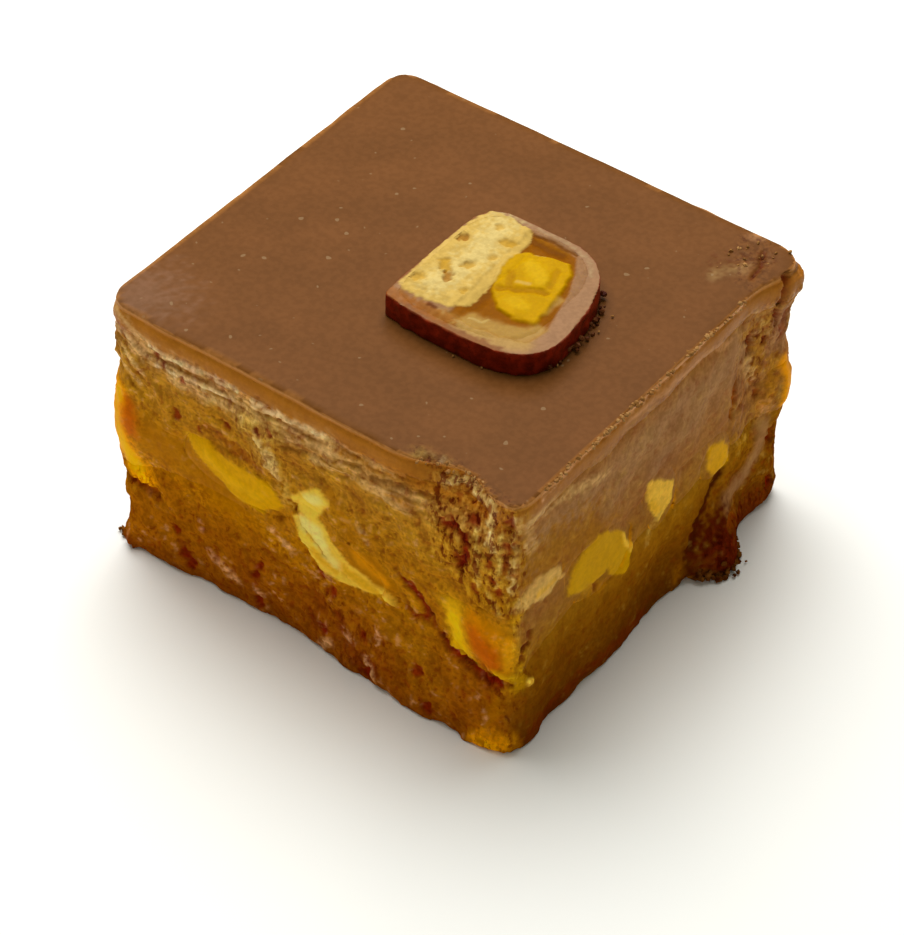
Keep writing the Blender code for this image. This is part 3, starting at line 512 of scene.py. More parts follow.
def refine(piece, chosen):
    """Splits the faces that carry the fine relief."""
    only(piece)
    for face in piece.data.polygons:
        face.select = chosen(face)
    bpy.ops.object.mode_set(mode="EDIT")
    bpy.ops.mesh.select_mode(type="FACE")
    bpy.ops.mesh.subdivide(number_cuts=1, smoothness=0.0)
    bpy.ops.object.mode_set(mode="OBJECT")


def on_side(face):
    return abs(face.normal.z) < 0.75


def vectors_of(piece, kind):
    flat = np.empty(len(piece.data.vertices) * 3)
    piece.data.vertices.foreach_get(kind, flat)
    return flat.reshape(-1, 3)


def move_to(piece, places):
    piece.data.vertices.foreach_set("co", places.ravel())
    piece.data.update()


def paint(piece, name, amounts):
    """Stores a mask from 0 to 1 on the piece's vertices, for its finish to read."""
    layer = piece.data.attributes.new(name, "FLOAT", "POINT")
    layer.data.foreach_set("value", np.clip(amounts, 0.0, 1.0).astype(np.float32))


def paint_shade(piece, colours):
    layer = piece.data.attributes.new("shade", "FLOAT_COLOR", "POINT")
    whole = np.ones((len(colours), 4), dtype=np.float32)
    whole[:, :3] = np.clip(colours, 0.0, 1.0)
    layer.data.foreach_set("color", whole.ravel())


def ramp(value, start, length):
    """Rises from 0 to 1 over a length that begins at the start."""
    return np.clip((value - start) / length, 0.0, 1.0)


def fall(value, end, length):
    """Falls from 1 to 0 over a length that ends at the end."""
    return np.clip((end - value) / length, 0.0, 1.0)


def lumps(places, size, seed):
    """Smooth noise from about -1 to 1, whose lumps are a size across, or a size along each axis.

    The seed is any number, and each one gives its own pattern.
    """
    shift = Vector((seed, 1.7 * seed, 2.3 * seed))
    return np.array([noise.noise(Vector(place) + shift) for place in places / size])


def look(name):
    """How bright a shade looks, as linear red, green and blue."""
    value = np.array(SHADES[name]) / 255.0
    return np.where(value <= 0.04045, value / 12.92, ((value + 0.055) / 1.055) ** 2.4)


def distance_to(points, run, height):
    """How far places are from a mark's line, or from its area if the line is closed."""
    nearest = np.full(len(run), 1000.0)
    inside = np.zeros(len(run), dtype=bool)
    for (run_0, height_0), (run_1, height_1) in zip(points, points[1:]):
        step = np.array((run_1 - run_0, height_1 - height_0))
        along = ((run - run_0) * step[0] + (height - height_0) * step[1]) / (step @ step)
        along = np.clip(along, 0.0, 1.0)
        gap = np.hypot(run - run_0 - along * step[0], height - height_0 - along * step[1])
        nearest = np.minimum(nearest, gap)
        if height_0 != height_1:
            crossing = run_0 + (height - height_0) * step[0] / step[1]
            inside ^= ((height_0 > height) != (height_1 > height)) & (run < crossing)
    if points[0] == points[-1]:
        nearest[inside] = 0.0
    return nearest


def read_marks(side, run, height, torn, uneven):
    """The look, rise, calmness and porosity of a side at each place, from its ground and marks."""
    levels = [level for level, _ in GROUNDS[side]]
    tones = np.array([look(name) for _, name in GROUNDS[side]])
    tone = np.stack([np.interp(height, levels, tones[:, channel]) for channel in range(3)], axis=1)
    rise = np.zeros(len(run))
    porous = np.zeros(len(run))
    calm = np.full(len(run), SIDE_CALM[side])
    if side == "right":
        calm[run > 13.0] = 0.1
    if side != "top":
        calm = np.maximum(calm, 0.85 * ramp(height, ICING_FOOT, 0.5))
    for points, reach, shade, share, lift in MARKS[side]:
        edge = 2.5 * reach
        runs = [point[0] for point in points]
        heights = [point[1] for point in points]
        near = np.nonzero((run > min(runs) - edge) & (run < max(runs) + edge)
                          & (height > min(heights) - edge) & (height < max(heights) + edge))[0]
        if not len(near):
            continue
        gap = distance_to(points, run[near], height[near]) / reach
        gap = np.maximum(gap + (0.2 if shade in SMOOTH_SHADES else 0.9) * uneven[near], 0.0)
        mask = np.exp(-gap ** (4.0 if reach < 1.0 else 2.8))
        if shade == "porous":
            porous[near] = np.maximum(porous[near], share * mask)
            continue
        if shade in RAGGED_SHADES:
            mask = mask * torn[near]
        rise[near] += lift * mask
        mask = (mask * share)[:, None]
        tone[near] += mask * (look(shade) - tone[near])
        if shade in SMOOTH_SHADES:
            calm[near] = np.maximum(calm[near], 0.9 * mask[:, 0])
    return tone, rise, calm, porous


def side_shares(facings, with_top):
    """How far each vertex belongs to each side, from the way that it faces."""
    shares = {}
    for side, (axis, end) in SIDES.items():
        shares[side] = ramp(facings[:, axis] * end, 0.25, 0.4)
    shares["top"] = ramp(facings[:, 2], 0.7, 0.25) * with_top
    return shares


def run_and_height(side, places):
    """A place's coordinates in a side: along it and up, or x and y on the top, in millimetres."""
    if side == "top":
        return places[:, 0] / MM, places[:, 1] / MM
    return places[:, 1 - SIDES[side][0]] / MM, places[:, 2] / MM


def knife_drag(places, shares):
    """Ridges that the knife dragged up the front corner, and the faint long ones elsewhere."""
    corner = ramp(places[:, 0] / MM, 15.5, 2.5) * shares["front"]
    corner += fall(places[:, 1] / MM, -20.0, 3.0) * shares["right"] * 0.7
    upright = lumps(places, np.array([0.6, 0.6, 3.2]) * MM, 51.0)
    lying = lumps(places, np.array([3.0, 3.0, 0.5]) * MM, 61.0)
    slanted = places[:, 2] - 0.5 * places[:, 1]
    sheen = lumps(np.stack([places[:, 0], 0.2 * places[:, 1], slanted], axis=1), 1.0 * MM, 71.0)
    out = 0.12 * MM * corner * upright
    out += 0.1 * MM * (1.0 - corner) * lying * (shares["front"] + shares["back"] + shares["left"])
    out += 0.08 * MM * shares["right"] * (sheen - upright)
    return out * ramp(places[:, 2] / MM, 18.0, 3.0)


def crisp_rim(moved, colour, facings, depth, torn):
    """Pushes the round of the icing's rim out square and paints a thin pale highlight along it, for the
    light that its edge catches.
    """
    turned = np.clip(facings[:, 2], 0.0, 1.0)
    level = np.sqrt(1.0 - turned ** 2)
    outward = facings / np.maximum(level, 0.01)[:, None]
    outward[:, 2] = 0.0
    at_rim = ramp(level, 0.0, 0.35) * np.clip(1.0 - depth / RIM_DEPTH, 0.0, 1.0)
    moved += RIM_SQUARING * at_rim[:, None] * outward
    # a painted highlight: the light that the rim's edge catches, as a thin pale line
    line = np.exp(-((depth - RIM_HIGHLIGHT_DEPTH) / RIM_HIGHLIGHT_WIDTH) ** 2) * (level > 0.4) * (0.5 + 0.5 * torn)
    light = 0.75 * SIDE_LIGHT["front"] + 0.25 * SIDE_LIGHT["top"]
    colour += line[:, None] * (look("rim") / light - colour)


def dress(piece, crag, grain, own=False, with_top=0.0):
    """Gives a piece the relief and the colours that the cut sides have at its place.

    A piece with its own place in a side laps over no seam, and the icing has its top as well.
    """
    places = vectors_of(piece, "co")
    facings = vectors_of(piece, "normal")
    shares = side_shares(facings, with_top)
    # the toe belongs to the right side all round
    toe = ramp(places[:, 0] / MM, TOE_EDGE, 0.8) * (places[:, 1] > 0.0) * (places[:, 2] < TOE_TOP * MM)
    for side in shares:
        shares[side] = np.maximum(shares[side], toe) if side == "right" else shares[side] * (1.0 - toe)
    # the faces at a seam lap over it, but not those of the flat foot or the icing's top
    lap = SEAM_LAP * ramp(np.abs(facings[:, 2]), 0.15, 0.5) * np.sign(facings[:, 2])
    lap[(places[:, 2] < SEAMS_FROM * MM) | (places[:, 2] > SEAMS_TO * MM)] = 0.0
    if not own:
        places[:, 2] += lap
    rough = crag * lumps(places, 2.4 * MM, 21.0) + grain * lumps(places, 0.9 * MM, 31.0)
    rough += knife_drag(places, shares)
    bend_run = 0.35 * lumps(places, 1.2 * MM, 3.0)
    bend_height = 0.35 * lumps(places, 1.2 * MM, 7.0)
    uneven = lumps(places, 0.55 * MM, 9.0)
    # the knife's streaks lie along the sides and lean down from the left corner of the front
    leaning = places.copy()
    leaning[:, 2] -= 0.5 * np.clip(-20.0 * MM - places[:, 0], 0.0, 5.0 * MM)
    streak = lumps(leaning, np.array([3.4, 3.4, 0.3]) * MM, 15.0)
    streaky = ramp(places[:, 2] / MM, 23.0, 3.0)
    torn = 0.6 + (1.0 - streaky) * 1.7 * uneven + streaky * (0.15 + streak + 0.8 * uneven)
    torn = np.clip(torn, 0.0, 1.0)
    # upright cells in the porous places, and specks and crumbs everywhere else; the hollows among them are
    # painted dark for the shade in them
    cells = lumps(places, np.array([0.4, 0.4, 0.85]) * MM, 81.0) + 0.5 * lumps(places, 0.34 * MM, 85.0)
    blotch = lumps(places, 2.6 * MM, 101.0) + 0.5 * lumps(places, 1.1 * MM, 105.0)
    specks = lumps(places, 0.75 * MM, 91.0) + 0.45 * lumps(places, 0.34 * MM, 95.0)
    turned = np.clip(facings[:, 2], 0.0, 1.0)
    up = ramp(turned, 0.75, 0.2)
    depth = np.maximum(ICING_TOP * MM - places[:, 2], 0.0)
    up = np.maximum(up, fall(depth, 0.2 * MM, 0.08 * MM) * (turned > 0.15))
    # each vertex has a small share of the plain ground at its height, for those that face no side
    _, height = run_and_height("front", places)
    away = np.full(len(places), 500.0)
    colour = PLAIN_SHARE * read_marks("front", away, height, torn, uneven)[0]
    weight = np.full(len(places), PLAIN_SHARE)
    calmness = np.zeros(len(places))
    pores = np.zeros(len(places))
    moved = places.copy()
    for side, (axis, end) in SIDES.items():
        here = np.nonzero(shares[side] > 0.01)[0]
        if not len(here):
            continue
        share = shares[side][here]
        run, height = run_and_height(side, places[here])
        tone, rise, calm, porous = read_marks(
            side, run + bend_run[here], height + bend_height[here], torn[here], uneven[here])
        loose = (1.0 - porous) * (1.0 - calm) * (0.0 if side == "top" else 1.0)
        shaded_hollow = porous * ramp(cells[here], 0.16, 0.2) + 0.8 * loose * ramp(specks[here], 0.3, 0.2)
        bright = loose * fall(specks[here], -0.26, 0.25) * np.clip(2.0 * blotch[here], 0.0, 1.0)
        tone = tone * (1.0 + (loose * blotch[here])[:, None] * np.array([0.24, 0.38, 0.3]))
        tone += 0.4 * bright[:, None] * (look("crumb" if side != "right" else "patch") - tone)
        if side in ("front", "back", "left"):
            tone = tone * (1.0 + 0.4 * (streak * streaky)[here] * (1.0 - calm))[:, None]
        # painted shade: the hollows are darkened towards a dark red brown
        tone += 0.65 * shaded_hollow[:, None] * (look("shaded_hollow") - tone)
        light = SIDE_LIGHT[side] + with_top * up[here] * (SIDE_LIGHT["top"] - SIDE_LIGHT[side])
        out = (rise - 0.1 * shaded_hollow + 0.04 * bright) * MM
        if side != "top":
            out = out + (1.0 - calm) * (1.0 - 0.6 * porous) * rough[here]
            if not own:
                surface = np.stack([run, height, end * places[here, axis] / MM], axis=1)
                side_surfaces[side].append(surface[share > 0.95])
        colour[here] += (share / light)[:, None] * tone
        weight[here] += share
        calmness[here] = np.maximum(calmness[here], calm * share)
        pores[here] = np.maximum(pores[here], porous * share)
        moved[here, axis] += end * share * out
    colour /= weight[:, None]
    if with_top:
        crisp_rim(moved, colour, facings, depth, torn)
    moved[:, 2] = np.maximum(moved[:, 2], 0.0)
    move_to(piece, moved)
    paint_shade(piece, colour)
    paint(piece, "calm", calmness)
    paint(piece, "porous", pores)
    only(piece)
    bpy.ops.object.shade_smooth()


def input_socket(group, name, kind):
    return group.interface.new_socket(name=name, in_out="INPUT", socket_type=kind)


def noise_node(tree, vector, scale, detail, roughness):
    made = tree.nodes.new("ShaderNodeTexNoise")
    made.inputs["Scale"].default_value = scale
    made.inputs["Detail"].default_value = detail
    made.inputs["Roughness"].default_value = roughness
    tree.links.new(vector, made.inputs["Vector"])
    return made.outputs["Fac"]


def painted(tree, name):
    """What is painted on the piece under a name, as a node's outputs."""
    made = tree.nodes.new("ShaderNodeAttribute")
    made.attribute_name = name
    return made.outputs


def spread(tree, value, low, high, low_gives=0.0, high_gives=1.0):
    """Stretches a value so that low gives 0 and high gives 1, or what is asked."""
    made = tree.nodes.new("ShaderNodeMapRange")
    made.interpolation_type = "SMOOTHSTEP"
    made.inputs["From Min"].default_value = low
    made.inputs["From Max"].default_value = high
    made.inputs["To Min"].default_value = low_gives
    made.inputs["To Max"].default_value = high_gives
    tree.links.new(value, made.inputs["Value"])
    return made.outputs["Result"]


def mix_values(tree, operation, first, second):
    made = tree.nodes.new("ShaderNodeMath")
    made.operation = operation
    for socket, value in zip(made.inputs, (first, second)):
        if isinstance(value, (int, float)):
            socket.default_value = value
        else:
            tree.links.new(value, socket)
    return made.outputs["Value"]


def mix_colours(tree, share, first, second, kind="MIX"):
    """Mixes two colours, each a socket or a fixed colour, by a share from 0 to 1."""
    made = tree.nodes.new("ShaderNodeMix")
    made.data_type = "RGBA"
    made.blend_type = kind
    for socket, value in ((made.inputs[6], first), (made.inputs[7], second), (made.inputs[0], share)):
        if isinstance(value, tuple):
            socket.default_value = (*value, 1.0)
        elif isinstance(value, float):
            socket.default_value = value
        else:
            tree.links.new(value, socket)
    return made.outputs[2]


# the grain of cut fudge: lighter and darker crumbs over the painted shade, less where it is calm
grain_group = bpy.data.node_groups.new("cut_grain", "ShaderNodeTree")
input_socket(grain_group, "Shade", "NodeSocketColor")
input_socket(grain_group, "Calm", "NodeSocketFloat")
input_socket(grain_group, "Porous", "NodeSocketFloat")
input_socket(grain_group, "Vector", "NodeSocketVector")
grain_group.interface.new_socket(name="Color", in_out="OUTPUT", socket_type="NodeSocketColor")
grain_group.interface.new_socket(name="Height", in_out="OUTPUT", socket_type="NodeSocketFloat")
group_in = grain_group.nodes.new("NodeGroupInput").outputs
group_out = grain_group.nodes.new("NodeGroupOutput").inputs
close = noise_node(grain_group, group_in["Vector"], 800.0, 3.0, 0.6)
fine = noise_node(grain_group, group_in["Vector"], 2300.0, 2.0, 0.5)
grit = spread(grain_group, mix_values(grain_group, "ADD", close, fine), 0.78, 1.22)
grit_light = mix_colours(grain_group, grit, (0.80, 0.78, 0.74), (1.20, 1.22, 1.26))
rough_share = spread(grain_group, group_in["Calm"], 0.0, 1.0, 1.0, 0.25)
varied = mix_colours(grain_group, rough_share, group_in["Shade"],
                     mix_colours(grain_group, 1.0, group_in["Shade"], grit_light, "MULTIPLY"))
# where it is porous, upright pores painted dark red brown for the shade in them, with pale walls between
# them
squash = grain_group.nodes.new("ShaderNodeVectorMath")
squash.operation = "MULTIPLY"
squash.inputs[1].default_value = (1.0, 1.0, 0.45)
grain_group.links.new(group_in["Vector"], squash.inputs[0])
upright = noise_node(grain_group, squash.outputs["Vector"], 1500.0, 3.0, 0.6)
hole = mix_values(grain_group, "MULTIPLY", spread(grain_group, upright, 0.54, 0.61), group_in["Porous"])
wall = spread(grain_group, upright, 0.34, 0.49, 0.8, 0.0)
wall = mix_values(grain_group, "MULTIPLY", wall, group_in["Porous"])
chink_shadow_colour = mix_colours(grain_group, 1.0, group_in["Shade"], (0.50, 0.30, 0.30), "MULTIPLY")
pale_shade = mix_colours(grain_group, 1.0, group_in["Shade"], (1.55, 1.95, 3.0), "MULTIPLY")
pore_shadow_colour = mix_colours(grain_group, 1.0, group_in["Shade"], (0.40, 0.17, 0.15), "MULTIPLY")
varied = mix_colours(grain_group, wall, varied, pale_shade)
varied = mix_colours(grain_group, mix_values(grain_group, "MULTIPLY", hole, 0.9), varied, pore_shadow_colour)
# and small chinks between the crumbs, painted dark for the shade in them, everywhere that is not calm
chink = spread(grain_group, noise_node(grain_group, group_in["Vector"], 1250.0, 3.0, 0.65), 0.60, 0.68)
chink = mix_values(grain_group, "MULTIPLY", chink, spread(grain_group, group_in["Calm"], 0.0, 0.8, 0.6, 0.0))
varied = mix_colours(grain_group, chink, varied, chink_shadow_colour)
grain_group.links.new(varied, group_out["Color"])
relief = mix_values(grain_group, "MULTIPLY", mix_values(grain_group, "ADD", close, fine), rough_share)
relief = mix_values(grain_group, "SUBTRACT", relief, mix_values(grain_group, "MULTIPLY", hole, 1.4))
grain_group.links.new(relief, group_out["Height"])


def cut_finish(name, roughness, gloss, tint, depth):
    """A finish for a cut side: the painted shade with its grain, and a warm low gloss."""
    finish, shader = plain_finish(name, roughness, gloss)
    tree = finish.node_tree
    shade = painted(tree, "shade")["Color"]
    calm = painted(tree, "calm")["Fac"]
    porous = painted(tree, "porous")["Fac"]
    grain = tree.nodes.new("ShaderNodeGroup")
    grain.node_tree = grain_group
    tree.links.new(shade, grain.inputs["Shade"])
    tree.links.new(calm, grain.inputs["Calm"])
    tree.links.new(porous, grain.inputs["Porous"])
    tree.links.new(tree.nodes.new("ShaderNodeTexCoord").outputs["Object"], grain.inputs["Vector"])
    tree.links.new(grain.outputs["Color"], shader.inputs["Base Color"])
    bump = tree.nodes.new("ShaderNodeBump")
    bump.inputs["Distance"].default_value = depth
    bump.inputs["Strength"].default_value = 0.8
    tree.links.new(grain.outputs["Height"], bump.inputs["Height"])
    tree.links.new(bump.outputs["Normal"], shader.inputs["Normal"])
    shader.inputs["Specular Tint"].default_value = (*tint, 1.0)
    return finish


base = fine_copy("base_fudge", "base_layer", SEAM_GROWTH, LAYER_VOXEL, LAYER_SMOOTHING)
refine(base, on_side)
dress(base, CRAG, GRAIN)
base_finish = cut_finish("base_fudge_finish", 0.6, 0.0, (1.0, 0.6, 0.25), 0.045 * MM)
base.data.materials.append(base_finish)
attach(base, "root")
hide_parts("base_fudge")


# The caramel layer
# Soft amber caramel runs right through the square between the two fudges. The knife smeared it with
# fudge along most of its edge, and it wells out bright and smooth at three of the corners.
CARAMEL_GLOW = 0.12


def let_light_in(finish, radius, scale):
    """Caramel is a little clear, so light that enters it comes out warmer beside the place."""
    shader = finish.node_tree.nodes["Principled BSDF"]
    shader.inputs["Subsurface Weight"].default_value = CARAMEL_GLOW
    shader.inputs["Subsurface Radius"].default_value = radius
    shader.inputs["Subsurface Scale"].default_value = scale


caramel = fine_copy("caramel_layer", "caramel_band", SEAM_GROWTH, LAYER_VOXEL, LAYER_SMOOTHING)
refine(caramel, on_side)
dress(caramel, CRAG, GRAIN)
caramel_finish = cut_finish("caramel_finish", 0.45, 0.01, (1.0, 0.7, 0.15), 0.035 * MM)
let_light_in(caramel_finish, (1.0, 0.45, 0.08), 1.0 * MM)
caramel.data.materials.append(caramel_finish)
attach(caramel, "root")
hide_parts("caramel_layer")


# The upper fudge
# The second fudge is lighter and smoother than the base. The knife dragged it upwards at the front
# corner, where it is full of long pores, and scraped a pale band along it just under the icing.
upper = fine_copy("upper_fudge", "upper_layer", SEAM_GROWTH, LAYER_VOXEL, LAYER_SMOOTHING)
refine(upper, on_side)
dress(upper, CRAG, GRAIN)
upper_finish = cut_finish("upper_fudge_finish", 0.55, 0.01, (1.0, 0.7, 0.35), 0.045 * MM)
upper.data.materials.append(upper_finish)
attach(upper, "root")
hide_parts("upper_fudge")


# The icing
# Smooth milk chocolate was poured over the slab and set with a satin skin. The knife broke its rim:
# the lower lip is ragged and pale, and it crumbled at the front corner and at the right corner.
FRONT_CHIPS = [(13.2, -22.6), (16.2, -22.3), (19.2, -22.8), (23.2, -23.4)]
RIGHT_CHIPS = [(20.8, 22.6), (24.0, 17.5)]
ICING_VOXEL = 0.42 * MM
ICING_CRAG = 0.1 * MM
ICING_GRAIN = 0.06 * MM


def near_chips(face):
    """Whether a face is in a cut side, at a corner whose icing crumbled or at the right rim."""
    x = face.center.x / MM
    y = face.center.y / MM
    return on_side(face) or (x > 10.0 and y < -19.5) or (x > 18.5 and y > 14.0) or x > 23.8


icing = fine_copy("chocolate_icing", "icing_sheet", SEAM_GROWTH, ICING_VOXEL, 1)
refine(icing, near_chips)
dress(icing, ICING_CRAG, ICING_GRAIN, with_top=1.0)
icing_finish = cut_finish("icing_finish", 0.4, 0.045, (1.0, 0.85, 0.7), 0.03 * MM)
tree = icing_finish.node_tree
shader = tree.nodes["Principled BSDF"]
where = tree.nodes.new("ShaderNodeTexCoord").outputs["Object"]
top_share = painted(tree, "top_skin")["Fac"]
mottle = spread(tree, noise_node(tree, where, 150.0, 4.0, 0.6), 0.3, 0.7)
skin = mix_colours(tree, mottle, (0.93, 0.93, 0.9), (1.07, 1.07, 1.1))
fine_skin = spread(tree, noise_node(tree, where, 1400.0, 2.0, 0.5), 0.35, 0.65)
fine_skin = mix_colours(tree, fine_skin, (0.94, 0.93, 0.9), (1.06, 1.07, 1.12))
skin = mix_colours(tree, 1.0, skin, fine_skin, "MULTIPLY")
smooth_top = mix_colours(tree, 1.0, painted(tree, "shade")["Color"], skin, "MULTIPLY")
speck = spread(tree, noise_node(tree, where, 1000.0, 0.0, 0.5), 0.79, 0.83)
smooth_top = mix_colours(tree, mix_values(tree, "MULTIPLY", speck, 0.45), smooth_top, (0.30, 0.20, 0.10))
grain_colour = shader.inputs["Base Color"].links[0].from_socket
tree.links.new(mix_colours(tree, top_share, grain_colour, smooth_top), shader.inputs["Base Color"])
bump = shader.inputs["Normal"].links[0].from_node
rough_height = bump.inputs["Height"].links[0].from_socket
relief_share = spread(tree, top_share, 0.0, 1.0, 1.0, 0.12)
tree.links.new(mix_values(tree, "MULTIPLY", rough_height, relief_share), bump.inputs["Height"])
# the satin skin covers the top, but not the chips in its rim
places = vectors_of(icing, "co")
from_front_chips = distance_to(FRONT_CHIPS, places[:, 0] / MM, places[:, 1] / MM)
from_right_chips = distance_to(RIGHT_CHIPS, places[:, 0] / MM, places[:, 1] / MM)
skin_share = ramp(vectors_of(icing, "normal")[:, 2], 0.7, 0.2)
skin_share *= ramp(from_front_chips, 1.2, 0.6) * ramp(from_right_chips, 1.6, 0.8)
paint(icing, "top_skin", skin_share)
icing.data.materials.append(icing_finish)
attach(icing, "root")
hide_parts("chocolate_icing")


# The pieces in the sides
# Bits of the same bar were stirred into the caramel: gold lumps of caramel and pale biscuit. The
# knife cut them flush with the sides, left their cut faces smooth and smeared their edges.
EDGE_DIP = 0.28
SEAM_COVER = 0.6
PIECE_GROWTH = 0.3 * MM
PIECE_VOXEL = 0.28 * MM
side_surfaces = {side: np.concatenate(found) for side, found in side_surfaces.items() if found}


def make_flush(piece, side):
    """Sets a piece's cut face level with the side around it and laps its edge over the seam."""
    axis, end = SIDES[side]
    places = vectors_of(piece, "co")
    run, height = run_and_height(side, places)
    out = end * places[:, axis] / MM
    middle = ((run.min() + run.max()) / 2, (height.min() + height.max()) / 2)
    reach = ((run.max() - run.min()) / 2, (height.max() - height.min()) / 2)
    around = side_surfaces[side]
    ring = np.hypot((around[:, 0] - middle[0]) / (reach[0] + 0.5),
                    (around[:, 1] - middle[1]) / (reach[1] + 0.5))
    chosen = around[(ring > 1.0) & (ring < 1.7) & (around[:, 2] > np.median(out) + 0.5)]
    chosen = chosen[::max(1, len(chosen) // 500)]
    gap = (run[:, None] - chosen[:, 0]) ** 2 + (height[:, None] - chosen[:, 1]) ** 2
    share = 1.0 / (gap + 0.3) ** 2
    level = (share @ chosen[:, 2]) / share.sum(axis=1)
    rim = np.hypot((run - middle[0]) / reach[0], (height - middle[1]) / reach[1])
    level -= EDGE_DIP * ramp(rim, 0.55, 0.45) ** 2
    out = np.minimum(out + level.mean() + 0.7 - out.max(), level)
    places[:, axis] = end * out * MM
    places[:, 1 - axis] = (middle[0] + (run - middle[0]) * (1.0 + SEAM_COVER / reach[0])) * MM
    places[:, 2] = (middle[1] + (height - middle[1]) * (1.0 + SEAM_COVER / reach[1])) * MM
    move_to(piece, places)


lump_finish = cut_finish("gold_lump_finish", 0.45, 0.01, (1.0, 0.75, 0.15), 0.03 * MM)
let_light_in(lump_finish, (1.0, 0.55, 0.08), 0.8 * MM)
bit_finish = cut_finish("pale_bit_finish", 0.55, 0.02, (1.0, 0.8, 0.4), 0.04 * MM)
for node in sorted(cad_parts):
    if "_piece_" not in node:
        continue
    low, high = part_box(node)
    centre = (low + high) / 2
    side = "front"
    if abs(centre.x) > abs(centre.y):
        side = "right" if centre.x > 0 else "left"
    elif centre.y > 0:
        side = "back"
    is_lump = node.startswith("caramel")
    name = node.replace("caramel_piece", "gold_lump").replace("biscuit_piece", "pale_bit")
    piece = fine_copy(node, name, PIECE_GROWTH, PIECE_VOXEL, 2)
    make_flush(piece, side)
    dress(piece, CRAG, GRAIN, own=True)
    piece.data.materials.append(lump_finish if is_lump else bit_finish)
    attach(piece, "root")
    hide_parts(node)


# The bar slice: its chocolate coat
# A slice of a finger bar lies flat on the icing. Its coat is dark and glossy outside, thin under the
# biscuit and thick over the caramel, and paler on the cut rim, where the knife scraped it.
SLICE_FOOT = 32.8 * MM
COAT_GROWTH = 0.12 * MM
COAT_VOXEL = 0.2 * MM
# one corner of the coat is drawn out to a tip
TIP_X = -1.2
TIP_Y = -8.6
TIP_REACH = 1.3
TIP_PULL = 0.55
# the biscuit and the caramel dip at their edges, but not beside the thin coat
EDGE_FALL = 0.14
EDGE_REACH = 0.65
slice_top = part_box("slice_coat")[1].z


def dress_slice(piece, lift, coated=0.0):
    """Gives a part of the slice the relief and colours of the cut face, and the coat's dark side."""
    places = vectors_of(piece, "co")
    facings = vectors_of(piece, "normal")
    uneven = lumps(places, 0.45 * MM, 125.0)
    torn = np.clip(0.6 + 1.7 * lumps(places, 0.6 * MM, 131.0), 0.0, 1.0)
    bend = 0.22 * lumps(places, 1.1 * MM, 135.0)
    x = places[:, 0] / MM + bend
    y = places[:, 1] / MM - bend
    up = ramp(facings[:, 2], 0.3, 0.4)
    up[places[:, 2] < slice_top - 1.2 * MM] = 0.0
    tone, rise, calm, _ = read_marks("slice", x, y, torn, uneven)
    tone = tone * (1.0 + 0.12 * (1.0 - calm) * lumps(places, 1.4 * MM, 141.0))[:, None]
    # the coat's dark side is patchy, and painted darker towards its foot for the shade there
    above_foot = ramp(places[:, 2], SLICE_FOOT, 2.0 * MM)
    patches_and_foot_shade = 0.65 + 0.4 * above_foot + 0.5 * np.clip(lumps(places, 0.9 * MM, 145.0), -0.5, 1.0)
    dark = look("coat") * patches_and_foot_shade[:, None]
    outside = places[:, :2] - np.mean(places[:, :2], axis=0)
    outside = np.sum(outside * facings[:, :2], axis=1) > 0.0
    side = (coated * (1.0 - up) * outside)[:, None]
    colour = (1.0 - side) * tone / SIDE_LIGHT["slice"] + side * dark / SIDE_LIGHT["front"]
    walls = np.nonzero((np.abs(facings[:, 2]) < 0.5) & (places[:, 2] > slice_top - 0.6 * MM))[0]
    wall_tree = KDTree(len(walls))
    for index, wall in enumerate(walls):
        wall_tree.insert((places[wall, 0], places[wall, 1], 0.0), index)
    wall_tree.balance()
    inward = np.array([wall_tree.find((place[0], place[1], 0.0))[2] for place in places]) / MM
    over_coat = ramp(x, -0.8, 0.6) * fall(y, 7.6, 0.8)
    lift = lift - (0.0 if coated else EDGE_FALL) * over_coat * np.clip(1.0 - inward / EDGE_REACH, 0.0, 1.0)
    level = slice_top + (lift + rise + 0.09 * lumps(places, 1.6 * MM, 151.0)
                         + 0.05 * (1.0 - calm) * lumps(places, 0.4 * MM, 155.0)) * MM
    moved = places + facings * ((1.0 - up) * 0.16 * MM * lumps(places, 1.1 * MM, 161.0))[:, None]
    moved[:, 2] = np.where(up > 0.0, places[:, 2] + up * (level - places[:, 2]), moved[:, 2])
    moved[:, 2] = np.minimum(moved[:, 2], level)
    from_tip = np.hypot(places[:, 0] / MM - TIP_X, places[:, 1] / MM - TIP_Y)
    near_tip = np.exp(-(from_tip / TIP_REACH) ** 2)
    moved[:, 0] -= TIP_PULL * MM * near_tip
    moved[:, 1] -= 0.6 * TIP_PULL * MM * near_tip
    moved[:, 2] = np.maximum(moved[:, 2], SLICE_FOOT)
    move_to(piece, moved)
    paint_shade(piece, colour)
    paint(piece, "calm", calm * up)
    only(piece)
    bpy.ops.object.shade_smooth()


coat = fine_copy("slice_coat", "bar_coat", COAT_GROWTH, COAT_VOXEL, 2)
dress_slice(coat, 0.0, coated=1.0)
coat_finish = cut_finish("bar_coat_finish", 0.4, 0.1, (1.0, 0.7, 0.5), 0.04 * MM)
coat.data.materials.append(coat_finish)
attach(coat, "root")
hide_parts("slice_coat")


# The bar slice: its biscuit
# The biscuit is pale, baked and full of pores, the largest about a millimetre and a half across, and
# the knife crumbled its cut face a little and smeared it over the thin coat beside it.
FILLING_GROWTH = 0.6 * MM
FILLING_VOXEL = 0.16 * MM
biscuit = fine_copy("slice_biscuit", "bar_biscuit", FILLING_GROWTH, FILLING_VOXEL, 2)
dress_slice(biscuit, 0.06)
biscuit_finish = cut_finish("bar_biscuit_finish", 0.7, 0.04, (1.0, 0.9, 0.7), 0.05 * MM)
biscuit.data.materials.append(biscuit_finish)
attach(biscuit, "root")
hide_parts("slice_biscuit")


